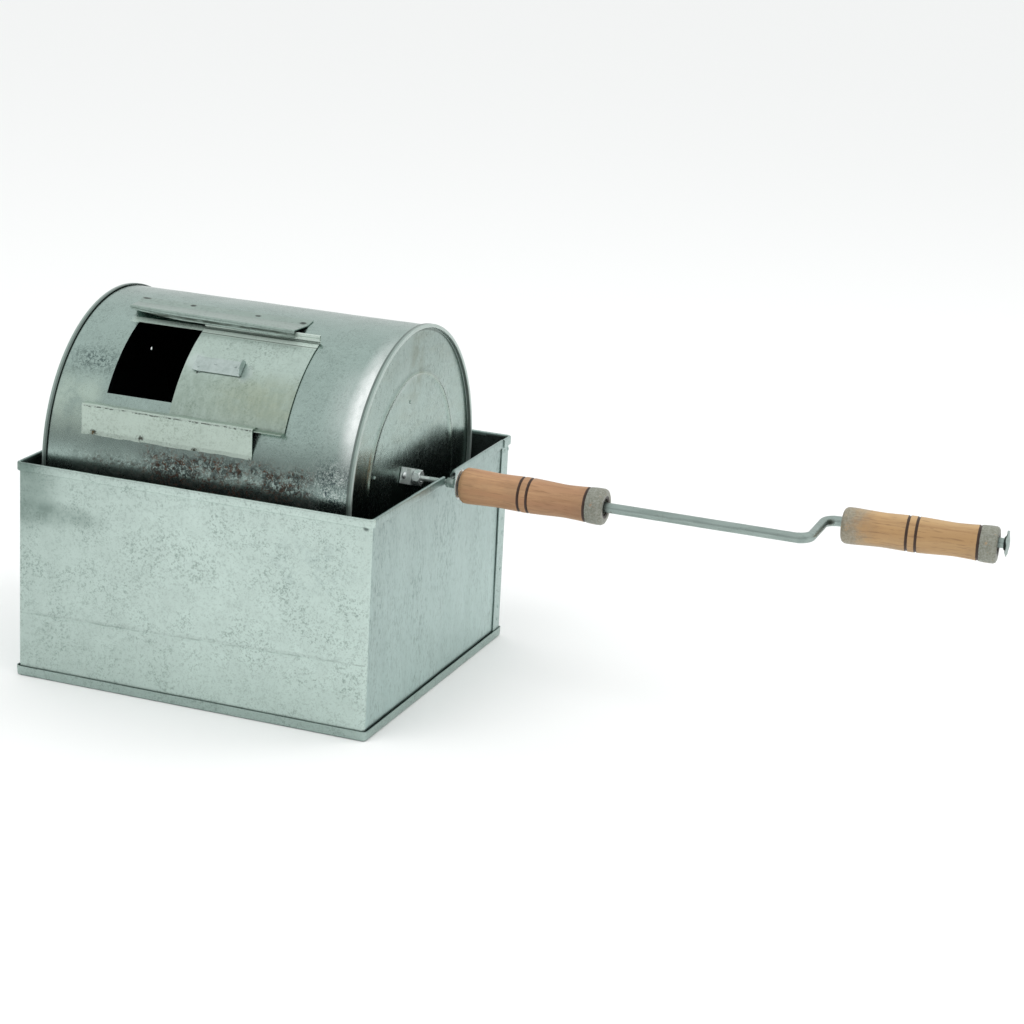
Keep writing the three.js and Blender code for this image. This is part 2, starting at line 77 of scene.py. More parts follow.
class Nodes:
    """Short names for the shader nodes this scene uses."""

    def __init__(self, name):
        self.mat = bpy.data.materials.new(name)
        self.mat.use_nodes = True
        self.t = self.mat.node_tree
        self.t.nodes.clear()
        self.out = self.t.nodes.new("ShaderNodeOutputMaterial")
        self.bsdf = self.t.nodes.new("ShaderNodeBsdfPrincipled")
        self.t.links.new(self.bsdf.outputs[0], self.out.inputs[0])
        self.coord = self.t.nodes.new("ShaderNodeTexCoord").outputs["Object"]

    def link(self, value, socket):
        if isinstance(value, bpy.types.NodeSocket):
            self.t.links.new(value, socket)
        elif value is not None:
            if hasattr(socket.default_value, "__len__") and not hasattr(value, "__len__"):
                value = [value] * len(socket.default_value)
            if hasattr(value, "__len__") and len(value) == 3 and len(socket.default_value) == 4:
                value = (*value, 1.0)
            socket.default_value = value

    def math(self, op, a, b=None, c=None, clamp=False):
        n = self.t.nodes.new("ShaderNodeMath")
        n.operation = op
        n.use_clamp = clamp
        for v, s in zip((a, b, c), n.inputs):
            self.link(v, s)
        return n.outputs[0]

    def mul(self, a, b): return self.math("MULTIPLY", a, b)
    def add(self, a, b): return self.math("ADD", a, b)
    def sub(self, a, b): return self.math("SUBTRACT", a, b)
    def clamp(self, a): return self.math("ADD", a, 0.0, clamp=True)

    def noise(self, scale, detail=3.0, rough=0.55, vec=None, dist=0.0, stretch=None):
        n = self.t.nodes.new("ShaderNodeTexNoise")
        n.inputs["Scale"].default_value = scale
        n.inputs["Detail"].default_value = detail
        n.inputs["Roughness"].default_value = rough
        n.inputs["Distortion"].default_value = dist
        v = self.coord if vec is None else vec
        if stretch:
            v = self.map(v, scale=stretch)
        self.link(v, n.inputs["Vector"])
        return n.outputs["Fac"]

    def voronoi(self, scale, feature="F1", out="Distance", vec=None, rand=1.0):
        n = self.t.nodes.new("ShaderNodeTexVoronoi")
        n.feature = feature
        n.inputs["Scale"].default_value = scale
        n.inputs["Randomness"].default_value = rand
        self.link(self.coord if vec is None else vec, n.inputs["Vector"])
        return n.outputs[out]

    def map(self, vec, loc=(0, 0, 0), rot=(0, 0, 0), scale=(1, 1, 1)):
        n = self.t.nodes.new("ShaderNodeMapping")
        n.inputs["Location"].default_value = loc
        n.inputs["Rotation"].default_value = rot
        n.inputs["Scale"].default_value = scale
        self.link(vec, n.inputs["Vector"])
        return n.outputs[0]

    def range(self, v, a, b, c=0.0, d=1.0, smooth=True):
        n = self.t.nodes.new("ShaderNodeMapRange")
        n.interpolation_type = "SMOOTHSTEP" if smooth else "LINEAR"
        n.clamp = True
        for x, s in zip((v, a, b, c, d), n.inputs):
            self.link(x, s)
        return n.outputs[0]

    def mix(self, fac, a, b, blend="MIX"):
        n = self.t.nodes.new("ShaderNodeMix")
        n.data_type = "RGBA"
        n.blend_type = blend
        n.clamp_factor = True
        ins = [s for s in n.inputs if s.enabled]
        self.link(fac, ins[0])
        self.link(a, ins[1])
        self.link(b, ins[2])
        return [s for s in n.outputs if s.enabled][0]

    def xyz(self, vec=None):
        n = self.t.nodes.new("ShaderNodeSeparateXYZ")
        self.link(self.coord if vec is None else vec, n.inputs[0])
        return n.outputs

    def vec(self, x, y, z):
        n = self.t.nodes.new("ShaderNodeCombineXYZ")
        for v, s in zip((x, y, z), n.inputs):
            self.link(v, s)
        return n.outputs[0]

    def dist(self, point, scale=(1, 1, 1)):
        """Distance from a point, in metres, with the axes stretched."""
        n = self.t.nodes.new("ShaderNodeVectorMath")
        n.operation = "LENGTH"
        self.link(self.map(self.coord, loc=[-p * s for p, s in zip(point, scale)], scale=scale), n.inputs[0])
        return n.outputs["Value"]

    def bump(self, height, strength, distance, normal=None):
        n = self.t.nodes.new("ShaderNodeBump")
        n.inputs["Strength"].default_value = strength
        n.inputs["Distance"].default_value = distance
        self.link(height, n.inputs["Height"])
        if normal is not None:
            self.link(normal, n.inputs["Normal"])
        return n.outputs[0]

    def scale_color(self, color, fac):
        """colour times a grey value"""
        return self.mix(1.0, color, self.vec(fac, fac, fac), "MULTIPLY")

    def finish(self, **inputs):
        for k, v in inputs.items():
            self.link(v, self.bsdf.inputs[k.replace("_", " ")])
        return self.mat


def srgb(r, g, b):
    f = lambda v: (v / 255 / 12.92) if v / 255 <= 0.04045 else ((v / 255 + 0.055) / 1.055) ** 2.4
    return (f(r), f(g), f(b))


def galvanised(name, base, dark, rough=0.38, freckle=0.5, wave=0.25, grain=1.0, extra=None, stretch=None, level=1.0):
    """Zinc-coated sheet: fine dark freckles in drifting patches, a faint crystal spangle and soft cloudiness."""
    n = Nodes(name)
    v = n.map(n.coord, scale=stretch) if stretch else n.coord
    patch = n.range(n.noise(26, 4, 0.65, v, 0.4), 0.38, 0.64)
    fine = n.noise(640, 3, 0.7, v, 0.35)
    blot = n.noise(330, 4, 0.75, v, 0.55)
    dots = n.range(n.add(n.mul(fine, 0.45), n.mul(blot, 0.55)), 0.485, 0.60)
    freck = n.mul(dots, n.add(n.mul(patch, 0.62), 0.38))
    cell = n.xyz(n.voronoi(105, "F1", "Color", v))[0]
    cloud = n.noise(5.5, 3, 0.5, v)
    tone = n.add(n.add(n.mul(cell, 0.05), n.mul(cloud, 0.14)), n.mul(n.noise(60, 4, 0.6, v), 0.14))
    tone = n.mul(n.add(tone, 0.835), level)
    color = n.mix(n.mul(freck, freckle), (base[0] * 0.955, base[1], base[2] * 0.992), dark)
    color = n.scale_color(color, tone)
    r = n.add(n.mul(n.noise(45, 4, 0.6, v), 0.16), rough - 0.08)
    r = n.add(r, n.mul(freck, 0.10))
    h = n.add(n.mul(n.voronoi(150, "SMOOTH_F1", "Distance", v), 0.7), n.add(n.mul(blot, 0.5), n.mul(fine, 0.3)))
    b1 = n.bump(h, 0.10 * grain, 0.0008)
    normal = n.bump(n.noise(9, 2, 0.4, v), wave, 0.004, b1)
    metal = 1.0
    if extra:
        color, r, metal = (*extra(n, color, r), 1.0)[:3]
    return n.finish(Base_Color=color, Roughness=r, Metallic=metal, Normal=normal)


# ------------------------------------------------------------------ meshes


def make(name, verts, faces, mat, body, nodes=(), smooth=35.0):
    me = bpy.data.meshes.new(name)
    me.from_pydata([tuple(float(c) * MM for c in v) for v in verts], [], faces)
    me.validate()
    ob = bpy.data.objects.new(name, me)
    scene.collection.objects.link(ob)
    for m in (mat if isinstance(mat, (list, tuple)) else [mat]):
        me.materials.append(m)
    shade(ob, smooth)
    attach(ob, body)
    if nodes:
        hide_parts(*nodes)
    return ob


def shade(ob, angle):
    me = ob.data
    for p in me.polygons:
        p.use_smooth = True
    if angle is not None:
        import bmesh
        bm = bmesh.new()
        bm.from_mesh(me)
        bm.normal_update()
        for e in bm.edges:
            if len(e.link_faces) == 2:
                a = e.calc_face_angle(0.0)
                e.smooth = a < math.radians(angle)
            else:
                e.smooth = False
        bm.to_mesh(me)
        bm.free()


def outward(ob):
    import bmesh
    bm = bmesh.new()
    bm.from_mesh(ob.data)
    bmesh.ops.remove_doubles(bm, verts=bm.verts, dist=1e-6)
    bmesh.ops.recalc_face_normals(bm, faces=bm.faces)
    bm.to_mesh(ob.data)
    bm.free()


def sheet_from_grid(name, grid, keep, thickness, mat, body, nodes=(), closed_u=False, closed_v=False, smooth=35.0, extra=()):
    """A sheet of even thickness whose middle surface is a grid of points (u by v). keep(i, j) drops cells. The two skins and the cut edges are all made here."""
    g = np.array(grid, float)
    nu, nv = g.shape[:2]
    # normals of the middle surface
    du = np.roll(g, -1, 0) - np.roll(g, 1, 0)
    dv = np.roll(g, -1, 1) - np.roll(g, 1, 1)
    if not closed_u:
        du[0] = g[1] - g[0]
        du[-1] = g[-1] - g[-2]
    if not closed_v:
        dv[:, 0] = g[:, 1] - g[:, 0]
        dv[:, -1] = g[:, -1] - g[:, -2]
    nrm = np.cross(du, dv)
    nrm /= np.maximum(np.linalg.norm(nrm, axis=2, keepdims=True), 1e-12)
    a = g + nrm * thickness / 2
    b = g - nrm * thickness / 2
    verts = np.concatenate([a.reshape(-1, 3), b.reshape(-1, 3)])
    off = nu * nv
    cu = nu if closed_u else nu - 1
    cv = nv if closed_v else nv - 1
    cells = np.zeros((cu, cv), bool)
    for i in range(cu):
        for j in range(cv):
            cells[i, j] = keep is None or keep(i, j)
    idx = lambda i, j: (i % nu) * nv + (j % nv)
    faces = []

    def has(i, j):
        if closed_u: i %= cu
        if closed_v: j %= cv
        return 0 <= i < cu and 0 <= j < cv and cells[i, j]
    for i in range(cu):
        for j in range(cv):
            if not cells[i, j]:
                continue
            p, q, r, s = idx(i, j), idx(i + 1, j), idx(i + 1, j + 1), idx(i, j + 1)
            faces.append((p, q, r, s))
            faces.append((p + off, s + off, r + off, q + off))
            if not has(i, j - 1): faces.append((q, p, p + off, q + off))
            if not has(i, j + 1): faces.append((s, r, r + off, s + off))
            if not has(i - 1, j): faces.append((p, s, s + off, p + off))
            if not has(i + 1, j): faces.append((r, q, q + off, r + off))
    used = sorted({v for f in faces for v in f})
    remap = {v: k for k, v in enumerate(used)}
    faces = [tuple(remap[v] for v in f) for f in faces]
    verts = [tuple(verts[v]) for v in used]
    for ev, ef in extra:
        base = len(verts)
        verts += [tuple(v) for v in ev]
        faces += [tuple(base + k for k in f) for f in ef]
    ob = make(name, verts, faces, mat, body, nodes, smooth)
    return ob


def steps(a, b, size):
    n = max(1, int(math.ceil(abs(b - a) / size)))
    return [a + (b - a) * i / n for i in range(n)] + [b]


def stations(marks, size):
    """Even steps between the marks, with every mark kept."""
    out = [marks[0]]
    for a, b in zip(marks[:-1], marks[1:]):
        out += steps(a, b, size)[1:]
    return out


def fillet(path, r, n=5):
    """A 2-D polyline with its inner corners rounded by r (one number, or one for each inner corner)."""
    out = [tuple(path[0])]
    for i in range(1, len(path) - 1):
        rad = r[i - 1] if isinstance(r, (list, tuple)) else r
        p = np.array(path[i], float)
        a = np.array(path[i - 1], float) - p
        b = np.array(path[i + 1], float) - p
        la, lb = np.linalg.norm(a), np.linalg.norm(b)
        a, b = a / la, b / lb
        cosang = np.clip(a @ b, -1, 1)
        half = math.acos(cosang) / 2
        if rad <= 0 or half > math.radians(89.5):
            out.append(tuple(p))
            continue
        reach = min(rad / math.tan(half), 0.49 * la, 0.49 * lb)
        rr = reach * math.tan(half)
        c = p + (a + b) / np.linalg.norm(a + b) * rr / math.sin(half)
        s, e = p + a * reach - c, p + b * reach - c
        turn = math.atan2(s[0] * e[1] - s[1] * e[0], s @ e)
        for k in range(n + 1):
            t = turn * k / n
            out.append((c[0] + s[0] * math.cos(t) - s[1] * math.sin(t), c[1] + s[0] * math.sin(t) + s[1] * math.cos(t)))
    out.append(tuple(path[-1]))
    return out


def dense(path, size):
    out = [tuple(path[0])]
    for a, b in zip(path[:-1], path[1:]):
        l = math.hypot(b[0] - a[0], b[1] - a[1])
        n = max(1, int(math.ceil(l / size)))
        out += [(a[0] + (b[0] - a[0]) * k / n, a[1] + (b[1] - a[1]) * k / n) for k in range(1, n + 1)]
    return out


def on_arc(r, deg):
    a = math.radians(deg)
    return (-r * math.cos(a), r * math.sin(a))


def ripple(x, y, z, size, seed=0.0):
    return noise.noise(Vector((x / size + seed, y / size - seed, z / size + 2 * seed)))


def x_sheet(name, line, x0, x1, thickness, mat, body, nodes=(), step=6.0, wave=None, z0=0.0, smooth=35.0, extra=(), keep=None, xs=None):
    """A sheet whose middle line (y, z) runs along X."""
    xs = xs or stations([x0, x1], step)
    grid = []
    for x in xs:
        row = []
        for k, (y, z) in enumerate(line):
            p = [x, y, z + z0]
            if wave:
                p = wave(p, k)
            row.append(p)
        grid.append(row)
    return sheet_from_grid(name, grid, keep, thickness, mat, body, nodes, smooth=smooth, extra=extra)


def lathe(profile, seg, axis="x", origin=(0, 0, 0), closed=False, frame_m=None):
    """Verts and faces of an (x, r) profile turned round X. r = 0 ends are closed to a point."""
    verts, faces, rows = [], [], []
    for x, r in profile:
        if r < 1e-6:
            rows.append([len(verts)])
            verts.append((x, 0, 0))
        else:
            rows.append(list(range(len(verts), len(verts) + seg)))
            for i in range(seg):
                a = 2 * math.pi * i / seg
                verts.append((x, -r * math.cos(a), r * math.sin(a)))
    pairs = list(zip(rows[:-1], rows[1:]))
    if closed:
        pairs.append((rows[-1], rows[0]))
    for a, b in pairs:
        for i in range(seg):
            j = (i + 1) % seg
            if len(a) == 1 and len(b) == 1:
                continue
            if len(a) == 1:
                faces.append((a[0], b[j], b[i]))
            elif len(b) == 1:
                faces.append((a[i], a[j], b[0]))
            else:
                faces.append((a[i], a[j], b[j], b[i]))
    m = frame_m or Matrix.Identity(3)
    verts = [tuple(m @ Vector(v) + Vector(origin)) for v in verts]
    return verts, faces


def turned(name, profile, seg, mat, body, nodes=(), origin=(0, 0, 0), closed=False, frame_m=None, smooth=35.0, tweak=None):
    verts, faces = lathe(profile, seg, origin=(0, 0, 0), closed=closed)
    if tweak:
        verts = [tweak(v) for v in verts]
    m = frame_m or Matrix.Identity(3)
    verts = [tuple(m @ Vector(v) + Vector(origin)) for v in verts]
    ob = make(name, verts, faces, mat, body, nodes, None)
    outward(ob)
    shade(ob, smooth)
    return ob


def surface_pips(spots):
    """Small turned domes and craters: each spot is (centre, outward direction, radius, height, hollow)."""
    out = []
    for c, d, r, h, hollow in spots:
        prof = [(-0.5, r), (0.0, r), (h * 0.7, r * 0.8), (h, r * 0.55)]
        prof += [(h * 0.55, r * 0.33), (0.12 * h, 0.0)] if hollow else [(h * 1.12, r * 0.25), (h * 1.15, 0.0)]
        prof = [(-0.5, 0.0)] + prof
        q = Vector((1, 0, 0)).rotation_difference(Vector(d)).to_matrix()
        v, f = lathe(prof, 16, origin=c, frame_m=q)
        out.append((v, f))
    return out


def join_extra(ob, spots, mat_index=0):
    """Adds turned spots to a finished piece."""
    import bmesh
    bm = bmesh.new()
    bm.from_mesh(ob.data)
    for v, f in surface_pips(spots):
        vs = [bm.verts.new([c * MM for c in p]) for p in v]
        fs = [bm.faces.new([vs[k] for k in face]) for face in f]
        bmesh.ops.recalc_face_normals(bm, faces=fs)
        for face in fs:
            face.material_index = mat_index
            face.smooth = True
    bm.to_mesh(ob.data)
    bm.free()


def bevelled(ob, width, segments=2, angle=40):
    b = ob.modifiers.new("edge", "BEVEL")
    b.width = width * MM
    b.segments = segments
    b.limit_method = "ANGLE"
    b.angle_limit = math.radians(angle)
    b.harden_normals = False
    return ob


# ------------------------------------------------------------------ materials

def front_marks(n, color, r):
    """The front panel's darker upper left corner, a slightly darker zone low down, painted shade along its crease and
    at a dent, and a painted shadow above the pan's edge.
    """
    x, y, z = n.xyz()
    front = n.range(y, -0.1585, -0.1580, 1.0, 0.0)
    corner = n.mul(n.range(n.dist((-0.172, -0.160, 0.190), (1.0, 0.2, 0.75)), 0.004, 0.055, 1.0, 0.0), front)
    corner = n.mul(corner, n.range(n.noise(30, 3, 0.6), 0.3, 0.7, 0.55, 1.0))
    color = n.mix(n.mul(corner, 0.85), color, srgb(104, 124, 117))
    band = n.mul(n.range(n.dist((-0.150, -0.160, 0.157), (0.42, 0.2, 2.2)), 0.006, 0.034, 1.0, 0.0), front)
    band = n.mul(band, n.range(n.noise(55, 4, 0.7), 0.32, 0.62, 0.45, 1.0))
    color = n.mix(n.mul(band, 0.72), color, srgb(112, 131, 124))
    # duller towards the left edge; painted shade: a dark hairline along the crease across the lower half, and a dark
    # spot standing for a dent under the hem's right end
    fade = n.mul(n.range(x, -0.175, 0.02, 0.20, 0.0), front)
    color = n.mix(fade, color, srgb(104, 122, 115))
    away = n.math("ABSOLUTE", n.add(n.sub(z, n.add(n.mul(x, 0.0254), 0.0642)), n.mul(n.sub(n.noise(45, 2, 0.5, stretch=(1, 0, 0)), 0.5), 0.003)))
    crease_shade = n.mul(n.mul(n.range(away, 0.0003, 0.0010, 1.0, 0.0), front), n.range(n.noise(38, 3, 0.6), 0.36, 0.62))
    color = n.mix(n.mul(crease_shade, 0.44), color, srgb(116, 133, 126))
    # painted shade: a dark spot standing for the shading of a dent
    dent = n.mul(n.range(n.dist((0.1657, -0.1595, 0.1910), (0.8, 0.3, 1.0)), 0.0008, 0.0030, 1.0, 0.0), front)
    color = n.mix(n.mul(dent, 0.85), color, srgb(78, 92, 88))
    blot = n.mul(n.range(n.dist((0.115, -0.160, 0.150), (0.55, 0.2, 1.0)), 0.010, 0.034, 1.0, 0.0), n.range(n.noise(60, 4, 0.7), 0.44, 0.62))
    color = n.mix(n.mul(n.mul(blot, front), 0.30), color, srgb(140, 158, 156))
    low = n.mul(n.range(z, 0.02, 0.075, 1.0, 0.0), 0.12)
    color = n.mix(low, color, srgb(165, 182, 174))
    # painted shadow: a dark band on the wall just above the floor pan's edge
    base = n.mul(n.range(z, 0.0115, 0.0075, 0.0, 1.0), 0.55)
    color = n.mix(base, color, srgb(70, 84, 80))
    return color, r


def side_marks(n, color, r):
    x, y, z = n.xyz()
    # painted shading: the side walls brighter low down and darker towards the top
    color = n.scale_color(color, n.range(z, 0.0, 0.200, 1.12, 0.79, False))
    # painted shadow: a dark band on the wall just above the floor pan's edge
    edge = n.mul(n.range(z, 0.0115, 0.0075, 0.0, 1.0), 0.5)
    return n.mix(edge, color, srgb(70, 84, 80)), r


def drum_marks(n, color, r):
    """A painted dark reflection with a grainy edge left of the window, a painted pale reflection lower down, rust
    speckle, frosty crystals, a painted highlight streak and painted shadow lines by the rings, and a painted lit band
    along the window's top edge, on the drum's shell, placed by length and angle.
    """
    x, y, z = n.xyz()
    deg = n.mul(n.math("ARCTAN2", n.sub(z, AXIS * MM), n.mul(y, -1.0)), 180 / math.pi)
    grain = n.noise(330, 4, 0.75, dist=0.8)
    soft = n.noise(60, 3, 0.6)

    def zone(x0, x1, a0, a1, fx=0.012, fa=4.0):
        m = n.mul(n.range(x, x0 - fx, x0 + fx), n.range(x, x1 + fx, x1 - fx))
        m = n.mul(m, n.mul(n.range(deg, a0 - fa, a0 + fa), n.range(deg, a1 + fa, a1 - fa)))
        return n.mul(m, n.range(soft, 0.30, 0.55, 0.35, 1.0))
    # painted reflection: a dark grainy patch left of the window, standing for dark things mirrored in the shell
    dark = n.mul(zone(-0.150, -0.108, 38, 47), n.range(grain, 0.44, 0.56))
    color = n.mix(n.mul(dark, 0.8), color, srgb(62, 78, 78))
    mott = n.mul(zone(-0.158, -0.100, 17, 39), n.range(n.noise(240, 4, 0.8, dist=1.2), 0.44, 0.6))
    color = n.mix(n.mul(mott, 0.22), color, srgb(122, 138, 130))
    # painted reflection: a pale patch low on the left, standing for a bright part of the surroundings mirrored in the
    # shell
    pale = zone(-0.160, -0.112, 14, 34, 0.008, 6.0)
    color = n.mix(n.mul(pale, 0.50), color, srgb(204, 221, 207))
    # rust
    where = n.math("MAXIMUM", zone(-0.060, 0.105, -9, 13.5, 0.018, 3.5), n.mul(zone(-0.12, 0.02, -8, 8, 0.02, 3.0), 0.5))
    grit = n.mul(where, n.range(n.noise(300, 5, 0.8, dist=1.0), 0.40, 0.53))
    color = n.mix(n.mul(grit, 0.88), color, srgb(56, 63, 62))
    spots = n.mul(where, n.range(n.noise(250, 5, 0.8, dist=0.6), 0.515, 0.570))
    color = n.mix(n.mul(spots, 0.90), color, n.mix(n.range(n.noise(120, 2, 0.5), 0.4, 0.6), srgb(112, 82, 66), srgb(84, 66, 56)))
    # frosty crystals beside the right ring
    fr = zone(0.104, 0.140, -14, 17, 0.012, 6.0)
    crystal = n.noise(260, 3, 0.85, dist=2.2)
    color = n.mix(n.mul(fr, n.range(crystal, 0.44, 0.50, 1.0, 0.0)), color, srgb(70, 84, 88))
    color = n.mix(n.mul(fr, n.range(crystal, 0.54, 0.62)), color, srgb(232, 240, 238))
    # painted highlight: a bright streak of reflected light on the shell beside the right ring
    streak_highlight = n.mul(n.range(x, 0.1195, 0.1345), n.mul(n.range(deg, 6, 34), n.range(deg, 84, 50)))
    wide = n.mul(n.range(x, 0.095, 0.132), n.mul(n.range(deg, 16, 36), n.range(deg, 62, 42)))
    streak_highlight = n.clamp(n.add(n.mul(streak_highlight, 0.80), n.mul(wide, 0.30)))
    streak_highlight = n.mul(streak_highlight, n.range(n.noise(140, 4, 0.7, stretch=(1.0, 0.5, 0.5)), 0.30, 0.60, 0.72, 1.0))
    color = n.mix(streak_highlight, color, (0.95, 0.99, 0.98))
    # painted shadow: a dark line on the shell against each ring, where the ring's flange steps over it
    line = n.math("MAXIMUM", n.range(x, 0.1358, 0.1364), n.range(x, -0.1541, -0.1547))
    color = n.mix(n.mul(line, 0.82), color, srgb(62, 74, 70))
    back = n.range(n.noise(14, 3, 0.6, dist=0.5), 0.45, 0.72)
    color = n.mix(n.mul(back, 0.22), color, srgb(120, 138, 130))
    r = n.add(r, n.mul(n.add(spots, n.mul(grit, 0.6)), 0.30))
    # painted light: the band along the window's top edge under the rail, made pale and less metallic to stand for light
    # falling there
    lit_window_edge = n.mul(n.mul(n.range(deg, 62.8, 63.4), n.range(deg, 66.7, 66.2)), n.mul(n.range(x, -0.117, -0.108), n.range(x, -0.012, -0.018)))
    color = n.mix(lit_window_edge, color, srgb(182, 200, 190))
    return color, r, n.sub(1.0, n.mul(lit_window_edge, 0.85))


def disc_marks(n, color, r):
    smear = n.range(n.noise(30, 3, 0.6, stretch=(1, 0.7, 2.6)), 0.45, 0.72)
    color = n.mix(n.mul(smear, 0.3), color, srgb(140, 152, 138))
    fleck = n.range(n.noise(260, 4, 0.8, dist=0.8), 0.56, 0.66)
    color = n.mix(n.mul(fleck, 0.35), color, srgb(96, 112, 106))
    x, y, z = n.xyz()
    zz = n.sub(z, AXIS * MM)
    olive = n.mul(n.range(n.dist((0.138, 0.004, AXIS * MM + 0.103), (0.1, 1.0, 0.42)), 0.006, 0.022, 1.0, 0.0), n.range(n.noise(60, 4, 0.65), 0.35, 0.6))
    color = n.mix(n.mul(olive, 0.55), color, srgb(112, 122, 104))
    # painted shading: the disc darker towards its top
    color = n.scale_color(color, n.range(zz, 0.045, 0.125, 1.0, 0.82))
    # painted reflection: the lower front of the disc darkened where the dark fire box is mirrored
    box_reflection = n.mul(n.range(zz, 0.056, 0.004), n.range(y, -0.045, -0.100))
    color = n.mix(n.mul(box_reflection, 0.80), color, srgb(70, 86, 78))
    rr = n.math("SQRT", n.add(n.mul(y, y), n.mul(zz, zz)))
    # painted highlight: a pale ring on the embossed circle
    bead_highlight = n.mul(n.range(rr, 0.0918, 0.0934), n.range(rr, 0.0962, 0.0946))
    color = n.mix(n.mul(bead_highlight, 0.14), color, srgb(196, 204, 182))
    ring = n.range(rr, 0.1343, 0.1349)
    # painted shade: a dark line at the step down from the ring's flange to the recessed disc
    seam = n.mul(n.range(rr, 0.1318, 0.1328), n.range(rr, 0.1347, 0.1342))
    color = n.mix(n.mul(seam, 0.62), color, srgb(72, 84, 79))
    color = n.mix(n.mul(ring, 0.55), color, srgb(150, 165, 159))
    # on the ring: a painted shadow line towards the shell and a painted highlight along the ring's top
    along = n.math("ABSOLUTE", n.add(x, 0.00915))
    inner = n.mul(n.range(rr, 0.1369, 0.1373), n.range(along, 0.1486, 0.1477))
    color = n.mix(n.mul(inner, 0.62), color, srgb(66, 78, 74))
    crest_highlight = n.mul(n.range(along, 0.1496, 0.1503), ring)
    color = n.mix(n.mul(crest_highlight, 0.42), color, srgb(212, 224, 219))
    return color, n.add(r, n.mul(ring, 0.12)), n.sub(1.0, n.mul(ring, 0.42))


def rail_marks(n, color, r):
    """Flaked dark dashes along the lower rail's fold, and scorched weld spots with a rust run."""
    x, y, z = n.xyz()
    zz = n.sub(z, AXIS * MM)
    wob = n.mul(n.sub(n.noise(120, 2, 0.6), 0.5), 0.0022)
    fold = n.mul(n.range(n.add(zz, wob), 0.0583, 0.0587), n.range(n.add(zz, wob), 0.0597, 0.0592))
    dash = n.mul(n.range(n.noise(300, 3, 0.7, stretch=(0.8, 1, 1)), 0.46, 0.53), n.range(n.noise(70, 3, 0.6, stretch=(1, 0, 0)), 0.38, 0.52, 0.20, 1.0))
    color = n.mix(n.mul(n.mul(fold, dash), 0.95), color, srgb(52, 58, 54))
    for wx, wz in ((-0.1105, 0.0362), (-0.0639, 0.0374), (-0.0103, 0.0338), (0.0431, 0.0322)):
        d = n.add(n.dist((wx, -0.1325, AXIS * MM + wz), (0.7, 0.25, 1.0)), n.mul(n.sub(n.noise(300, 4, 0.8, dist=1.0), 0.5), 0.010))
        burn = n.range(d, 0.0006, 0.0030, 1.0, 0.0)
        color = n.mix(n.mul(burn, 0.9), color, srgb(50, 48, 40))
    run = n.mul(n.range(n.math("ABSOLUTE", n.sub(x, -0.1110)), 0.0004, 0.0016, 1.0, 0.0), n.range(zz, 0.0375, 0.0365))
    color = n.mix(n.mul(run, 0.8), color, srgb(98, 80, 50))
    return color, n.add(r, 0.05)


def upper_marks(n, color, r):
    """Dark weld dimples along the upper rail's foot, and a dark line along the groove of its lip."""
    x, y, z = n.xyz()
    zz = n.sub(z, AXIS * MM)
    for wx, wa, big in ((-0.1180, 80.2, 1.25), (-0.0693, 78.8, 0.90), (-0.0033, 77.8, 0.85), (0.0417, 76.9, 1.0)):
        a = math.radians(wa)
        d = n.dist((wx, -0.1379 * math.cos(a), AXIS * MM + 0.1379 * math.sin(a)), (0.75, 1.0, 1.0))
        m = n.mul(n.range(d, 0.0014 * big, 0.0033 * big, 1.0, 0.0), n.range(n.noise(420, 3, 0.7), 0.36, 0.5, 0.7, 1.0))
        color = n.mix(n.mul(m, 0.96), color, srgb(44, 52, 46))
    lip = n.range(y, -0.0608, -0.0612)
    groove = n.mul(lip, n.mul(n.range(zz, 0.1295, 0.1306), n.range(zz, 0.1328, 0.1318)))
    line = n.mul(groove, n.range(n.noise(160, 3, 0.7, stretch=(0.25, 1, 1)), 0.36, 0.58, 0.35, 1.0))
    color = n.mix(n.mul(line, 0.85), color, srgb(66, 74, 66))
    rub = n.mul(lip, n.range(n.noise(120, 4, 0.75, stretch=(0.12, 1, 1.6)), 0.50, 0.62))
    color = n.mix(n.mul(rub, 0.55), color, srgb(96, 108, 98))
    return color, n.add(r, n.mul(rub, 0.1))


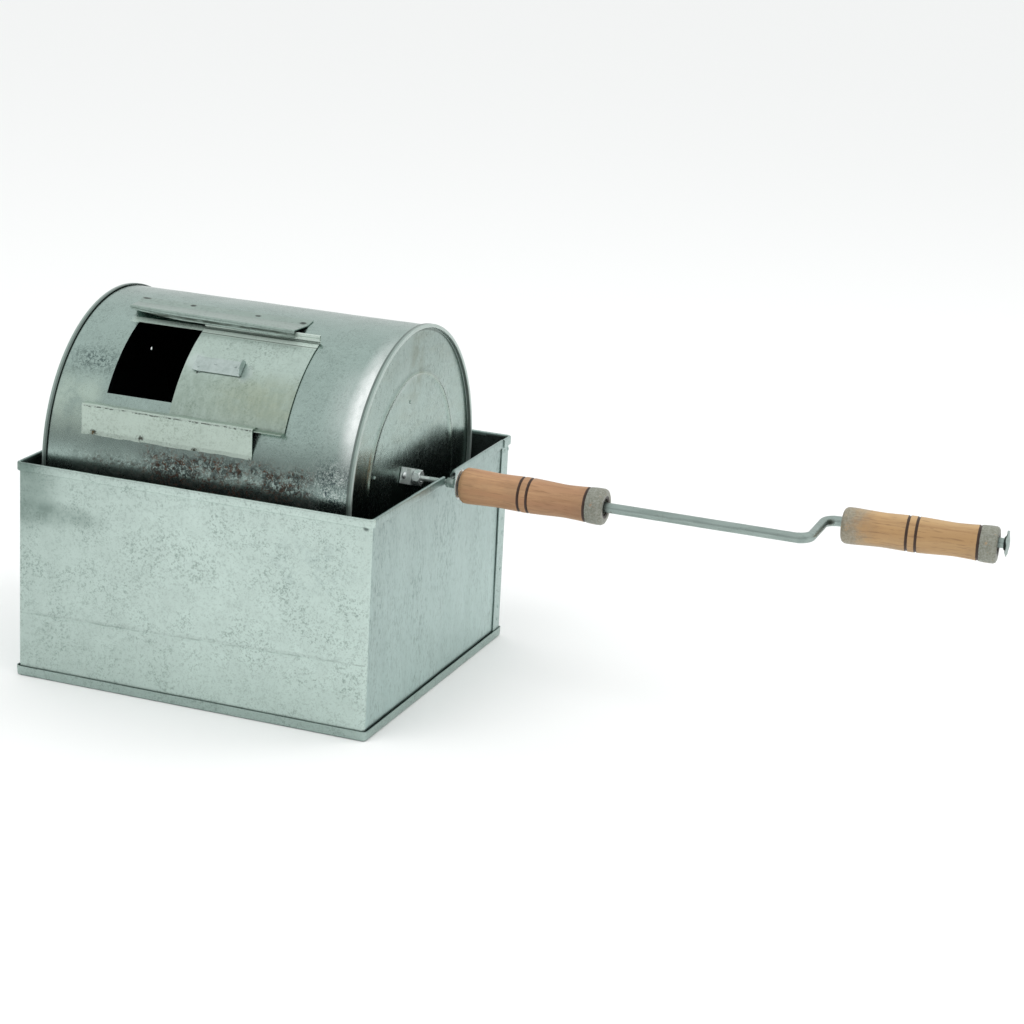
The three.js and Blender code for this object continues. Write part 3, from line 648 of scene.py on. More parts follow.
def door_marks(n, color, r):
    x, y, z = n.xyz()
    deg = n.mul(n.math("ARCTAN2", n.sub(z, AXIS * MM), n.mul(y, -1.0)), 180 / math.pi)
    tint = n.mul(n.mul(n.range(x, -0.030, 0.040), n.range(deg, 50, 36)), n.mul(n.range(deg, 22, 34), n.range(n.noise(70, 5, 0.7, stretch=(0.5, 1, 1)), 0.34, 0.60, 0.25, 1.0)))
    color = n.mix(n.mul(tint, 0.40), color, srgb(172, 172, 132))
    low = n.mul(n.range(deg, 50, 38), n.range(n.noise(170, 4, 0.7, stretch=(1.0, 0.35, 0.35)), 0.36, 0.62, 0.36, 0.62))
    color = n.mix(low, color, srgb(138, 154, 141))
    # silver paint smeared at both ends of the pull
    smear = n.mul(n.noise(110, 3, 0.7), 0.008)
    left = n.range(n.add(n.dist((-0.0325, -0.0920, AXIS * MM + 0.1030), (1.0, 0.9, 0.9)), smear), 0.0085, 0.0150, 1.0, 0.0)
    right = n.range(n.add(n.dist((0.0185, -0.0960, AXIS * MM + 0.0990), (1.2, 0.9, 0.9)), smear), 0.0080, 0.0140, 1.0, 0.0)
    paint = n.mul(n.math("MAXIMUM", left, right), 0.45)
    color = n.mix(paint, color, srgb(202, 214, 212))
    r = n.add(r, n.mul(paint, 0.12))
    # under the top hem: a painted lit band, pale and less metallic, and painted shade lines at two creases
    hem = n.range(deg, 61.2, 61.9)
    color = n.mix(n.mul(hem, 0.45), color, srgb(206, 219, 210))
    fold = n.math("MAXIMUM", n.mul(n.range(deg, 61.7, 61.95), n.range(deg, 62.45, 62.2)), n.mul(n.range(deg, 64.2, 64.45), n.range(deg, 65.1, 64.85)))
    color = n.mix(n.mul(fold, 0.80), color, srgb(84, 96, 88))
    spat = n.range(n.add(n.dist((-0.0262, -0.1002, AXIS * MM + 0.0948), (0.8, 1.0, 1.0)), n.mul(n.sub(n.noise(500, 3, 0.7), 0.5), 0.003)), 0.0006, 0.0016, 1.0, 0.0)
    color = n.mix(n.mul(spat, 0.9), color, srgb(54, 62, 56))
    return color, r, n.sub(1.0, n.mul(hem, 0.62))


M_FRONT = galvanised("zinc_box_front", srgb(206, 219, 213), srgb(132, 150, 143), 0.42, 0.62, 0.22, 1.0, front_marks, level=0.93)
# painted shade: the side walls use a darker copy of the front's zinc (level 0.74 against the front's 0.93)
M_SIDE = galvanised("zinc_box_side", srgb(200, 218, 214), srgb(136, 154, 149), 0.36, 0.58, 0.30, 1.0, side_marks, stretch=(1, 1, 0.35), level=0.74)
M_BACK = galvanised("zinc_box_back", srgb(200, 216, 212), srgb(136, 154, 148), 0.40, 0.5, 0.30, 1.0, level=0.76)
M_PAN = galvanised("zinc_pan", srgb(192, 207, 201), srgb(112, 128, 121), 0.42, 0.5, 0.25, 1.0, level=0.76)
M_DRUM = galvanised("zinc_drum_shell", srgb(183, 200, 194), srgb(104, 120, 114), 0.25, 0.34, 0.30, 1.0, drum_marks, level=0.74)
M_DISC = galvanised("zinc_drum_disc", srgb(186, 204, 197), srgb(110, 128, 120), 0.22, 0.40, 0.24, 1.5, disc_marks, stretch=(1, 1, 0.6), level=0.70)
M_RAIL = galvanised("zinc_lower_rail", srgb(212, 224, 214), srgb(150, 166, 152), 0.42, 0.5, 0.30, 1.0, rail_marks, level=0.82)
M_RAILU = galvanised("zinc_upper_rail", srgb(182, 198, 190), srgb(112, 126, 118), 0.32, 0.5, 0.30, 1.0, upper_marks, level=0.74)
M_DOOR = galvanised("zinc_door", srgb(200, 214, 206), srgb(136, 152, 143), 0.34, 0.66, 0.35, 1.0, door_marks, level=0.85)
M_SOOT = galvanised("zinc_sooted_box_inside", srgb(150, 162, 158), srgb(70, 78, 74), 0.46, 0.7, 0.35, 1.0, level=0.36)
M_BLACK = galvanised("zinc_blackened_drum_inside", srgb(110, 120, 122), srgb(50, 54, 54), 0.50, 0.5, 0.35, 1.0, level=0.70)


def steel_material(name, base, dark, rough, streak=(0.12, 1, 1), grime=0.3, spots=(), metal=1.0):
    n = Nodes(name)
    lines = n.noise(260, 3, 0.6, stretch=streak)
    cloud = n.noise(70, 4, 0.65)
    color = n.mix(n.mul(n.range(lines, 0.35, 0.70), 0.45), base, dark)
    color = n.mix(n.mul(n.range(n.noise(330, 4, 0.8, dist=0.5), 0.58, 0.68), grime), color, srgb(92, 92, 80))
    for p, rad, c in spots:
        d = n.add(n.dist([v * MM for v in p]), n.mul(n.noise(420, 3, 0.7), rad * MM))
        color = n.mix(n.mul(n.range(d, rad * MM, rad * MM * 1.9, 1.0, 0.0), 0.8), color, c)
    r = n.add(n.mul(cloud, 0.2), rough - 0.1)
    nm = n.bump(n.add(lines, n.mul(cloud, 0.8)), 0.18, 0.0005)
    return n.finish(Base_Color=color, Roughness=r, Metallic=metal, Normal=nm)


M_ROD = steel_material("zinc_steel_bar", srgb(158, 172, 167), srgb(122, 136, 131), 0.40, spots=(((507.0, -4.0, AXIS - 3), 2.4, srgb(104, 100, 84)), ((330.0, -4.0, AXIS - 3), 1.2, srgb(110, 112, 104))))
M_STEEL = steel_material("zinc_steel_fitting", srgb(214, 223, 220), srgb(160, 170, 166), 0.32, (1, 1, 1), 0.30, metal=0.62)
M_BRIGHT = steel_material("bright_fastener", srgb(232, 238, 237), srgb(184, 192, 190), 0.24, (1, 1, 1), 0.2, metal=0.66)


def silver_paint():
    n = Nodes("silver_paint")
    a = n.noise(150, 4, 0.7, dist=0.4)
    color = n.mix(n.range(a, 0.35, 0.7), srgb(182, 195, 192), srgb(166, 180, 176))
    color = n.mix(n.mul(n.range(n.noise(300, 3, 0.7), 0.62, 0.70), 0.3), color, srgb(120, 126, 120))
    return n.finish(Base_Color=color, Roughness=n.add(n.mul(a, 0.16), 0.30), Metallic=0.9, Normal=n.bump(a, 0.14, 0.0006))


M_PULL = silver_paint()


def wood_material(name, seed, right_paint, left_paint, a, b, c, pore, shade_right):
    """Turned light wood: long pale grain with short dark pores, scorched turning grooves, and silver-grey paint over the ends."""
    n = Nodes(name)
    x, y, z = n.xyz()
    v = n.map(n.coord, loc=(seed, seed * 0.3, -seed), scale=(0.055, 1, 1))
    grain = n.noise(150, 5, 0.62, v, 0.7)
    wide = n.noise(42, 3, 0.55, v, 1.0)
    pores = n.noise(620, 2, 0.6, n.map(n.coord, loc=(seed, 0, seed), scale=(0.085, 1, 1)))
    color = n.mix(n.range(wide, 0.32, 0.68), a, b)
    color = n.mix(n.mul(n.range(grain, 0.46, 0.70), 0.42), color, c)
    color = n.mix(n.mul(n.range(pores, 0.57, 0.68), pore), color, srgb(120, 86, 56))
    smudge = n.range(n.noise(26, 4, 0.6, n.map(n.coord, loc=(0, seed, 0))), 0.52, 0.74)
    color = n.mix(n.mul(smudge, 0.30), color, srgb(132, 108, 84))
    hairs = n.noise(420, 4, 0.7, n.map(n.coord, loc=(seed, seed, 0), scale=(0.10, 1, 1)))
    color = n.mix(n.mul(n.range(hairs, 0.52, 0.66), 0.30), color, srgb(142, 104, 70))
    color = n.scale_color(color, n.range(x, 0.045, 0.105, 1.0, shade_right))
    # scorched grooves
    burn = None
    for gx in GROOVES:
        w = n.add(n.math("ABSOLUTE", n.sub(x, gx * MM)), n.mul(n.noise(220, 3, 0.7), 0.0006))
        m = n.range(w, 0.00125, 0.0019, 1.0, 0.0)
        burn = m if burn is None else n.math("MAXIMUM", burn, m)
    # paint over the ends
    wob = n.mul(n.sub(n.noise(70, 4, 0.7), 0.5), 0.012)
    paint = n.mul(n.range(n.add(x, n.mul(wob, 0.20)), 0.1190, 0.1200), right_paint)
    if left_paint:
        side = n.range(n.add(x, n.mul(wob, 3.2)), 0.004, 0.030, 1.0, 0.0)
        under = n.mul(n.range(n.add(z, n.mul(wob, 1.2)), -0.006, -0.014), n.range(x, 0.085, 0.02, 0.0, 0.55))
        paint = n.math("MAXIMUM", paint, n.mul(n.math("MAXIMUM", side, under), left_paint))
    worn = n.range(n.noise(240, 4, 0.75, n.map(n.coord, scale=(0.35, 1, 1))), 0.60, 0.70)
    paint = n.mul(paint, n.sub(1.0, n.mul(worn, 0.75)))
    pc = n.mix(n.range(n.noise(520, 4, 0.75), 0.34, 0.66), srgb(152, 157, 149), srgb(116, 121, 110))
    color = n.mix(paint, color, pc)
    color = n.mix(n.mul(burn, 0.95), color, srgb(44, 26, 20))
    off = n.math("SQRT", n.add(n.mul(y, y), n.mul(z, z)))
    mouth = n.mul(n.range(off, 0.0108, 0.0092), n.math("MAXIMUM", n.range(x, 0.1325, 0.1335), n.range(x, 0.0020, 0.0010)))
    color = n.mix(n.mul(mouth, 0.92), color, srgb(40, 30, 25))
    r = n.add(0.46, n.mul(grain, 0.16))
    r = n.mix(n.mul(paint, 0.6), n.vec(r, r, r), (0.42, 0.42, 0.42))
    h = n.add(n.mul(grain, 0.5), n.mul(pores, 0.5))
    return n.finish(Base_Color=color, Roughness=r, Metallic=n.mul(paint, 0.35), Normal=n.bump(h, 0.16, 0.0006))


GROOVES = (57.4, 65.5, 118.8)
M_WOOD1 = wood_material("wood_steady_grip", 0.0, 0.92, 0.0, srgb(196, 154, 114), srgb(182, 136, 100), srgb(160, 114, 80), 0.34, 0.82)
M_WOOD2 = wood_material("wood_crank_grip", 3.7, 0.92, 0.75, srgb(194, 160, 114), srgb(182, 144, 98), srgb(148, 110, 72), 0.46, 0.94)

# ------------------------------------------------------------------ fire box

BX, BY, BH, SH, LAP = 170.6, 159.0, 200.0, 0.8, 18.5
WALL_END = BY - 3.2 - 0.3
NOTCH = (-5.0, 14.0, 190.5)
CREASE = ((-158.0, 60.2), (150.0, 68.0))


def plan_frame(path):
    out = []
    n = len(path)
    for i, p in enumerate(path):
        ds = []
        if i: ds.append((p[0] - path[i - 1][0], p[1] - path[i - 1][1]))
        if i < n - 1: ds.append((path[i + 1][0] - p[0], path[i + 1][1] - p[1]))
        ns = [(d[1] / math.hypot(*d), -d[0] / math.hypot(*d)) for d in ds]
        a, b = ns[0], ns[-1]
        m = (a[0] + b[0], a[1] + b[1])
        l = math.hypot(*m)
        out.append((m[0] * 2 / l / l, m[1] * 2 / l / l))
    return out


def split_y(path, values):
    """Adds points where long plan lines along Y cross the given values."""
    out = [path[0]]
    for a, b in zip(path[:-1], path[1:]):
        if abs(a[0] - b[0]) < 1e-6:
            ys = sorted([v for v in values if min(a[1], b[1]) + 0.2 < v < max(a[1], b[1]) - 0.2], reverse=b[1] < a[1])
            out += [(a[0], v) for v in ys]
        out.append(b)
    return out


def hem_line(z0, out, marks):
    """Middle line of a wall with its rolled hem: (offset, z, share of the hem)."""
    wall = [(-SH / 2, z) for z in marks if z < 196.5]
    wall[0] = (-SH / 2, z0)
    o = out - SH / 2
    roll = fillet([(-SH / 2, 196.5), (-SH / 2, 199.6), (o, 199.6), (o, 192.4), (0.7, 192.45)], [1.05, 1.05, 0.55], 5)
    roll = dense(roll, 2.0)
    pts = [(a, b, 0.0) for a, b in wall] + [(a, b, (k + 1) / len(roll)) for k, (a, b) in enumerate(roll)]
    return pts, len(wall)


def wall_piece(name, path, line, mats, keep, body, nodes, wave, pick=None):
    nr = plan_frame(path)
    grid = []
    for (px, py), (nx, ny) in zip(path, nr):
        row = []
        for o, z, h in line:
            oo, zz = wave(px, py, o, z, h)
            row.append((px + nx * oo, py + ny * oo, zz))
        grid.append(row)
    ob = sheet_from_grid(name, grid, keep, SH, mats, body, nodes, smooth=32.0)
    if pick:
        for p in ob.data.polygons:
            p.material_index = pick(p)
    return ob


def wall_wave(px, py, o, z, h):
    fade = min(1.0, max(0.0, (z - 4) / 25)) * min(1.0, max(0.0, (196 - z) / 30))
    on_front = py < -158.9
    edge = min(1.0, (BX - abs(px)) / 30) if on_front else min(1.0, (BY - abs(py)) / 30)
    edge = max(0.0, edge)
    w = 0.75 * ripple(px, py, z, 95, 3.1) + 0.22 * ripple(px, py, z, 34, 8.2)
    oo = o + w * fade * edge
    if on_front:
        cz = CREASE[0][1] + (px - CREASE[0][0]) / (CREASE[1][0] - CREASE[0][0]) * (CREASE[1][1] - CREASE[0][1]) + 1.4 * ripple(px, 0, 0, 40, 5)
        on = min(1.0, max(0.0, (px + 165) / 20)) * min(1.0, max(0.0, (160 - px) / 30))
        oo += 0.34 * on * math.exp(-((z - cz) / 1.5) ** 2) - 0.12 * on * math.exp(-((z - cz + 3.4) / 2.0) ** 2)
    # the hem: gently uneven, and sprung open beside the axle notch
    if h > 0:
        oo += (0.22 * ripple(px, py, 0, 16, 2.2) + 0.12) * math.sin(math.pi * min(1, h)) * 1.0
        z += 0.25 * ripple(px, py, 0, 45, 6.0)
        if abs(abs(px) - BX) < 3.0:
            far = math.exp(-(max(0.0, py - NOTCH[1]) / 4.2) ** 2) if py >= NOTCH[1] - 0.01 else 0.0
            near = math.exp(-(max(0.0, NOTCH[0] - py) / 3.0) ** 2) if py <= NOTCH[0] + 0.01 else 0.0
            oo += (2.9 * far + 0.5 * near) * math.sin(math.pi * min(1, h)) ** 0.8
            z -= 0.8 * far * h
    return oo, z


marks_z = sorted(set([1.1, 4, 9] + [9 + 6.5 * k for k in range(1, 28)] + [57 + 0.75 * k for k in range(0, 20)] + [NOTCH[2]]))
marks_z = [z for z in marks_z if z <= 191.5]
W_LINE, W_N = hem_line(1.1, 2.2, marks_z)
w_path = fillet([(-BX, WALL_END), (-BX, -BY), (BX, -BY), (BX, WALL_END)], 3.2, 7)
w_path = dense(w_path, 7.0)
w_path = split_y(w_path, [NOTCH[0], NOTCH[1], BY - LAP - 0.3] + [NOTCH[0] - k for k in (1, 2.2, 4)] + [NOTCH[1] + k for k in (0.8, 1.8, 3, 4.5, 6.5, 9)])


def wall_keep(i, j):
    x = (w_path[i][0] + w_path[i + 1][0]) / 2
    y = (w_path[i][1] + w_path[i + 1][1]) / 2
    z = (W_LINE[j][1] + W_LINE[j + 1][1]) / 2
    h = max(W_LINE[j][2], W_LINE[j + 1][2])
    side = abs(x) > BX - 1
    if side and NOTCH[0] < y < NOTCH[1] and (z > NOTCH[2] or h > 0):
        return False
    if side and y > BY - LAP - 0.3 and h > 0 and (W_LINE[j][0] > -0.39 or W_LINE[j + 1][0] > -0.39):
        return False
    return True


def wall_pick(p):
    c, m = p.center * 1000, p.normal
    side = abs(c.x) > BX - 3.4 and c.y > -BY + 3.2
    if c.z < 197 and ((side and m.x * c.x < 0 and abs(m.x) > 0.5 and abs(c.x) < BX - 0.2) or (not side and m.y > 0.5 and c.y > -BY + 0.2)):
        return 2
    return 1 if side else 0


def back_pick(p):
    c, m = p.center * 1000, p.normal
    return 1 if c.z < 197 and m.y < -0.5 and c.y < BY - 0.2 and abs(c.x) < BX else 0


wall = wall_piece("fire_box_walls", w_path, W_LINE, [M_FRONT, M_SIDE, M_SOOT], wall_keep, "fire_box", ["wall_wrap"], wall_wave, wall_pick)

LX = BX + 0.3 + SH


def back_wave(px, py, o, z, h):
    fade = min(1.0, max(0.0, (z - 4) / 25)) * min(1.0, max(0.0, (196 - z) / 30))
    edge = max(0.0, min(1.0, (BX - abs(px)) / 30)) if py > BY - 0.5 else 0.0
    oo = o + (0.8 * ripple(px, py, z, 100, 12.0) + 0.2 * ripple(px, py, z, 30, 4.0)) * fade * edge
    if h > 0:
        oo += (0.2 * ripple(px, py, 0, 18, 1.2) + 0.1) * math.sin(math.pi * min(1, h))
        z += 0.22 * ripple(px, py, 0, 50, 9.0)
    if py < BY - 18 and abs(px) > BX:
        oo += 0.12 + 0.35 * max(0.0, ripple(0, 0, z, 22, 7.0))      # the lap's free edge isn't quite flat
    return oo, z


B_LINE, B_N = hem_line(1.1, 2.0, [1.1, 4, 9] + [9 + 6.5 * k for k in range(1, 28)])
b_path = dense(fillet([(LX, BY - LAP), (LX, BY), (-LX, BY), (-LX, BY - LAP)], 3.2, 7), 7.0)
back = wall_piece("fire_box_back", b_path, B_LINE, [M_BACK, M_SOOT], None, "fire_box", ["back_panel"], back_wave, back_pick)
spots = []
for y, z in ((147.4, 187.1), (155.2, 187.4), (150.4, 119.9), (152.0, 106.0), (151.2, 69.2), (151.0, 31.8), (150.6, 18.8)):
    for s in (1, -1):
        spots.append(((s * (LX + 0.1), y, z), (s, 0, 0), 1.8, 0.5, True))
join_extra(back, spots)

# floor pan: one tray, its edge turned up outside the walls
PX, PY = LX + 0.3, BY + 0.3


def rounded_rect(x, y, r, n=6):
    pts = []
    for cx, cy, a0 in ((x - r, y - r, 0), (-x + r, y - r, 90), (-x + r, -y + r, 180), (x - r, -y + r, 270)):
        for k in range(n + 1):
            a = math.radians(a0 + 90 * k / n)
            pts.append((cx + r * math.cos(a), cy + r * math.sin(a)))
    return dense(pts + [pts[0]], 12.0)[:-1]


def pan():
    rim = rounded_rect(PX + 0.4, PY + 0.4, 3.6)
    n = len(rim)
    rows = []
    edge = fillet([(-14.0, 0.4), (0.0, 0.4), (0.35, 9.0 - 0.15)], 1.4, 6)
    edge = dense(edge, 2.5)
    scale_in = [0.0, 0.25, 0.5, 0.75]
    nr = plan_frame([rim[-1]] + rim + [rim[0]])[1:-1]
    grid = []
    for s in (0.02, 0.3, 0.6):
        grid.append([(x * s, y * s, 0.4) for x, y in rim])
    for o, z in edge:
        row = []
        for (x, y), (nx, ny) in zip(rim, nr):
            w = (0.28 * ripple(x, y, 0, 30, 4.4) + 0.10) * max(0.0, (z - 1) / 8)
            row.append((x + nx * (o + w), y + ny * (o + w), z + (0.2 * ripple(x, y, 0, 24, 9.1) if z > 8 else 0.0)))
        grid.append(row)
    ob = sheet_from_grid("floor_tray", grid, None, SH, [M_PAN, M_SOOT], "fire_box", ["floor_pan"], closed_v=True, smooth=32.0)
    # close the small middle
    import bmesh
    bm = bmesh.new()
    bm.from_mesh(ob.data)
    loops = [e for e in bm.edges if len(e.link_faces) == 2 and all(max(abs(v.co.x), abs(v.co.y)) < 0.02 * 0.174 + 1e-4 for v in e.verts)]
    inner = [f for f in bm.faces if all(max(abs(v.co.x), abs(v.co.y)) < 0.02 * 0.174 + 1e-4 for v in f.verts)]
    bmesh.ops.delete(bm, geom=inner, context="FACES")
    bm.edges.ensure_lookup_table()
    open_e = [e for e in bm.edges if len(e.link_faces) == 1]
    bmesh.ops.holes_fill(bm, edges=open_e, sides=0)
    bmesh.ops.recalc_face_normals(bm, faces=bm.faces)
    for f in bm.faces:
        c = f.calc_center_median() * 1000
        f.material_index = 1 if f.normal.z > 0.5 and c.z > 0.5 and abs(c.x) < PX and abs(c.y) < PY else 0
    bm.to_mesh(ob.data)
    bm.free()
    return ob


pan()

# ------------------------------------------------------------------ drum

DX0, DX1 = -159.9, 141.6
SR, ST, RR = 136.8, 0.7, 138.3
WIN = (-105.6, -20.0, 30.3, 63.7)


def shell_radius(x, a):
    """Middle radius of the shell: true at its ends and round the window, gently uneven between."""
    ends = min(1.0, (x - (DX0 + 1.1)) / 22, (DX1 - 1.1 - x) / 22)
    ends = max(0.0, ends)
    rad = math.radians(a)
    w = 0.42 * ripple(x, 90 * math.cos(rad), 90 * math.sin(rad), 62, 1.7) + 0.12 * ripple(x, 90 * math.cos(rad), 90 * math.sin(rad), 22, 5.0)
    covered = 1.0 if -135 < x < 60 and 5 < a < 88 else 0.0
    r = SR - ST / 2 + min(0.0, w * ends - 0.15 * ends) * (0.35 if covered else 1.0)
    seam = math.exp(-((a - 258.0) / 1.3) ** 4)
    return r + 0.8 * seam * min(1.0, ends * 2)


s_x = stations([DX0 + 1.1, DX0 + 12, WIN[0], WIN[1], DX1 - 12, DX1 - 1.1], 6.0)
s_a = stations([0.0, WIN[2], WIN[3], 252.0, 264.0, 360.0], 2.2)
s_a = [a for a in s_a if not 252 < a < 264] + [252 + 0.75 * k for k in range(1, 16)]
s_a = sorted(set(s_a))[:-1]
grid = [[(x, *on_arc(shell_radius(x, a), a)) for x in s_x] for a in s_a]
grid = [[(p[0], p[1], p[2] + AXIS) for p in row] for row in grid]


def shell_keep(i, j):
    a = (s_a[i] + (s_a[i + 1] if i + 1 < len(s_a) else 360)) / 2
    x = (s_x[j] + s_x[j + 1]) / 2
    return not (WIN[2] < a < WIN[3] and WIN[0] < x < WIN[1])


shell = sheet_from_grid("drum_shell_sheet", grid, shell_keep, ST, [M_DRUM, M_BLACK], "drum", ["drum_shell"], closed_u=True, smooth=32.0)
for p in shell.data.polygons:
    c = p.center * 1000
    p.material_index = 1 if p.normal.y * c.y + p.normal.z * (c.z - AXIS) < -0.5 * math.hypot(c.y, c.z - AXIS) else 0


def cap(name, node, side, plane, spots):
    prof = [(4.2, 3.0), (4.2, 9.0), (4.2, 91.3), (3.75, 92.5), (3.2, 94.0), (3.75, 95.5), (4.2, 96.7), (4.2, 135.2), (0.4, 135.2), (0.4, 137.9), (4.4, 137.9)]
    f = fillet(prof, [0, 0, 1.2, 0, 0.8, 0, 1.2, 0.8, 0.9, 0.9], 5)
    f = dense(f, 4.5)
    seg = 216
    grid = []
    for d, r in f:
        row = []
        for k in range(seg):
            a = 2 * math.pi * k / seg
            y, z = -r * math.cos(a), r * math.sin(a)
            inner = min(1.0, max(0.0, (r - 16) / 22)) * min(1.0, max(0.0, (131 - r) / 18))
            w = (0.85 * ripple(0, y, z, 75, 4.0 + side) + 0.20 * ripple(0, y, z, 24, 9.0)) * inner
            rr = r + (0.10 * ripple(0, y * 0.6, z * 0.6, 26, 2.0) if r > 136 else 0.0)
            row.append((plane - side * (d + w), -rr * math.cos(a), rr * math.sin(a) + AXIS))
        grid.append(row)
    ob = sheet_from_grid(name, grid, None, SH, [M_DISC, M_BLACK], "drum", [node], closed_v=True, smooth=38.0)
    outward(ob)
    shade(ob, 38.0)
    for p in ob.data.polygons:
        r = math.hypot(p.center.y * 1000, p.center.z * 1000 - AXIS)
        p.material_index = 1 if p.normal.x * side < -0.5 and r < 134.5 else 0
    face = plane - side * 3.8
    join_extra(ob, [((face, y, z + AXIS), (side, 0, 0), r, h, hollow) for y, z, r, h, hollow in spots])
    return ob


cap("drum_end_right", "end_cap_right", 1, DX1, [(-8, 71, 1.9, 0.9, False), (-81, 18, 2.3, 1.0, False)])
left_cap = cap("drum_end_left", "end_cap_left", -1, DX0, [(-40, 78, 2.0, 0.8, False)])


def drill(ob, centre, r, depth):
    """Cuts one small round hole along X through a piece."""
    v, f = lathe([(-depth, 0), (-depth, r), (depth, r), (depth, 0)], 20, origin=centre)
    me = bpy.data.meshes.new("drill")
    me.from_pydata([tuple(c * MM for c in p) for p in v], [], f)
    tool = bpy.data.objects.new("drill", me)
    scene.collection.objects.link(tool)
    outward(tool)
    m = ob.modifiers.new("hole", "BOOLEAN")
    m.operation = "DIFFERENCE"
    m.solver = "EXACT"
    m.object = tool
    dg = bpy.context.evaluated_depsgraph_get()
    made = bpy.data.meshes.new_from_object(ob.evaluated_get(dg))
    ob.modifiers.clear()
    ob.data = made
    bpy.data.objects.remove(tool)


drill(left_cap, (DX0 + 3.8, 55.0, AXIS + 68.0), 1.6, 6.0)

# straps, rivets, nuts and axles
TILT = math.radians(-17)
ROT_TILT = Matrix.Rotation(TILT, 3, "X")


def strap(name, node, side, plane):
    face = plane - side * 3.8 + side * 0.3
    line = dense(fillet([(-26, 0.5), (-13, 0.5), (-9, 3.1), (9, 3.1), (13, 0.5), (26, 0.5)], 1.3, 5), 1.6)
    grid = []
    for y, d in line:
        row = []
        for k in range(9):
            w = -7.5 + 15 * k / 8
            ww = w * (1 - 0.035 * (abs(y) / 26) ** 3)
            p = ROT_TILT @ Vector((0, y, ww))
            row.append((face + side * (d + 0.25 * ripple(0, y, w, 9, 3.0) * (abs(y) > 14)), p.y, p.z + AXIS))
        grid.append(row)
    ob = sheet_from_grid(name, grid, None, 1.0, [M_STEEL], "drum", [node], smooth=38.0)
    outward(ob)
    shade(ob, 38.0)
    bevelled(ob, 0.22)
    return ob


def rivet(name, node, side, plane, y):
    face = plane - side * 3.8
    X = lambda d: face + side * d
    p = ROT_TILT @ Vector((0, y, 0))
    prof = [(X(-2.4), 0), (X(-2.35), 1.6), (X(-2.0), 2.5), (X(-1.15), 2.8), (X(-1.1), 1.4), (X(1.65), 1.4), (X(1.62), 3.15), (X(1.9), 3.2), (X(2.5), 2.75), (X(3.0), 2.0), (X(3.25), 1.0), (X(3.3), 0)]
    return turned(name, prof, 28, [M_BRIGHT], "drum", [node], origin=(0, p.y, p.z + AXIS), smooth=40)


def nut(name, node, x0, x1):
    """Hexagon nut with both faces chamfered round."""
    af, bore, seg = 13.0, 2.9, 72
    h = x1 - x0
    levels = [0.0, 0.25, 0.5, 0.8, 1.2, h / 2, h - 1.2, h - 0.8, h - 0.5, h - 0.25, h]
    rows = []

    def hexr(t):
        a = (t - math.radians(12 + 30) + math.pi / 6) % (math.pi / 3) - math.pi / 6
        return af / 2 / math.cos(a)
    grid = []
    inner = [(h, bore + 0.5), (h - 0.5, bore)] + [(h - 0.5 - 0.35 * k, bore + (0.22 if k % 2 else 0.0)) for k in range(1, int((h - 1.0) / 0.35))] + [(0.5, bore), (0.0, bore + 0.5)]
    for k in range(seg):
        t = 2 * math.pi * k / seg
        prof = []
        for l in levels:
            e = min(l, h - l)
            prof.append((x0 + l, min(hexr(t), af / 2 + 0.02 + e * 1.0 if e < 0.85 else 99)))
        prof += [(x0 + a, b) for a, b in inner]
        grid.append([(x, r * math.cos(t), r * math.sin(t) + AXIS) for x, r in prof])
    nv = len(grid[0])
    verts = [p for row in grid for p in row]
    faces = []
    for i in range(seg):
        for j in range(nv):
            a, b = i * nv + j, ((i + 1) % seg) * nv + j
            c, d = ((i + 1) % seg) * nv + (j + 1) % nv, i * nv + (j + 1) % nv
            faces.append((a, b, c, d))
    ob = make(name, verts, faces, [M_BRIGHT], "drum", [node], None)
    outward(ob)
    shade(ob, 25)
    return ob


for side, plane, label in ((1, DX1, "right"), (-1, DX0, "left")):
    face = plane - side * 3.8
    strap("axle_strap_" + label, "bracket_" + label, side, plane)
    rivet("strap_rivet_" + label + "_front", "bracket_rivet_" + label + "_front", side, plane, -19.5)
    rivet("strap_rivet_" + label + "_back", "bracket_rivet_" + label + "_back", side, plane, 19.5)
    for kind, node in (("outer_nut_", "axle_nut_" + label), ("inner_nut_", "axle_nut_" + label + "_inner")):
        lo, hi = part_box(node)
        nut(kind + label, node, lo.x * 1000, hi.x * 1000)


def axle(name, node, x0, x1, thread0, thread1):
    prof = [(x0, 0.0), (x0, 1.9), (x0 + 0.6, 2.5)]
    x = x0 + 0.6
    while x < x1 - 0.7:
        x += 0.2 if thread0 < x < thread1 else 3.0
        x = min(x, x1 - 0.6)
        r = 2.6 - (0.26 * abs(((x / 0.8) % 1.0) * 2 - 1) if thread0 < x < thread1 else 0.0)
        prof.append((x, r))
    prof += [(x1, 1.9), (x1, 0.0)]
    return turned(name, prof, 24, [M_STEEL], "drum", [node], origin=(0, 0, AXIS), smooth=60)


lo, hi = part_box("drive_spindle")
axle("spindle_right", "drive_spindle", lo.x * 1000, hi.x * 1000, lo.x * 1000 + 0.5, 157)
lo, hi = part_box("stub_axle_left")
axle("spindle_left", "stub_axle_left", lo.x * 1000, hi.x * 1000, -166, hi.x * 1000 - 0.5)

# guide rails
RT, DR = 0.8, 137.1


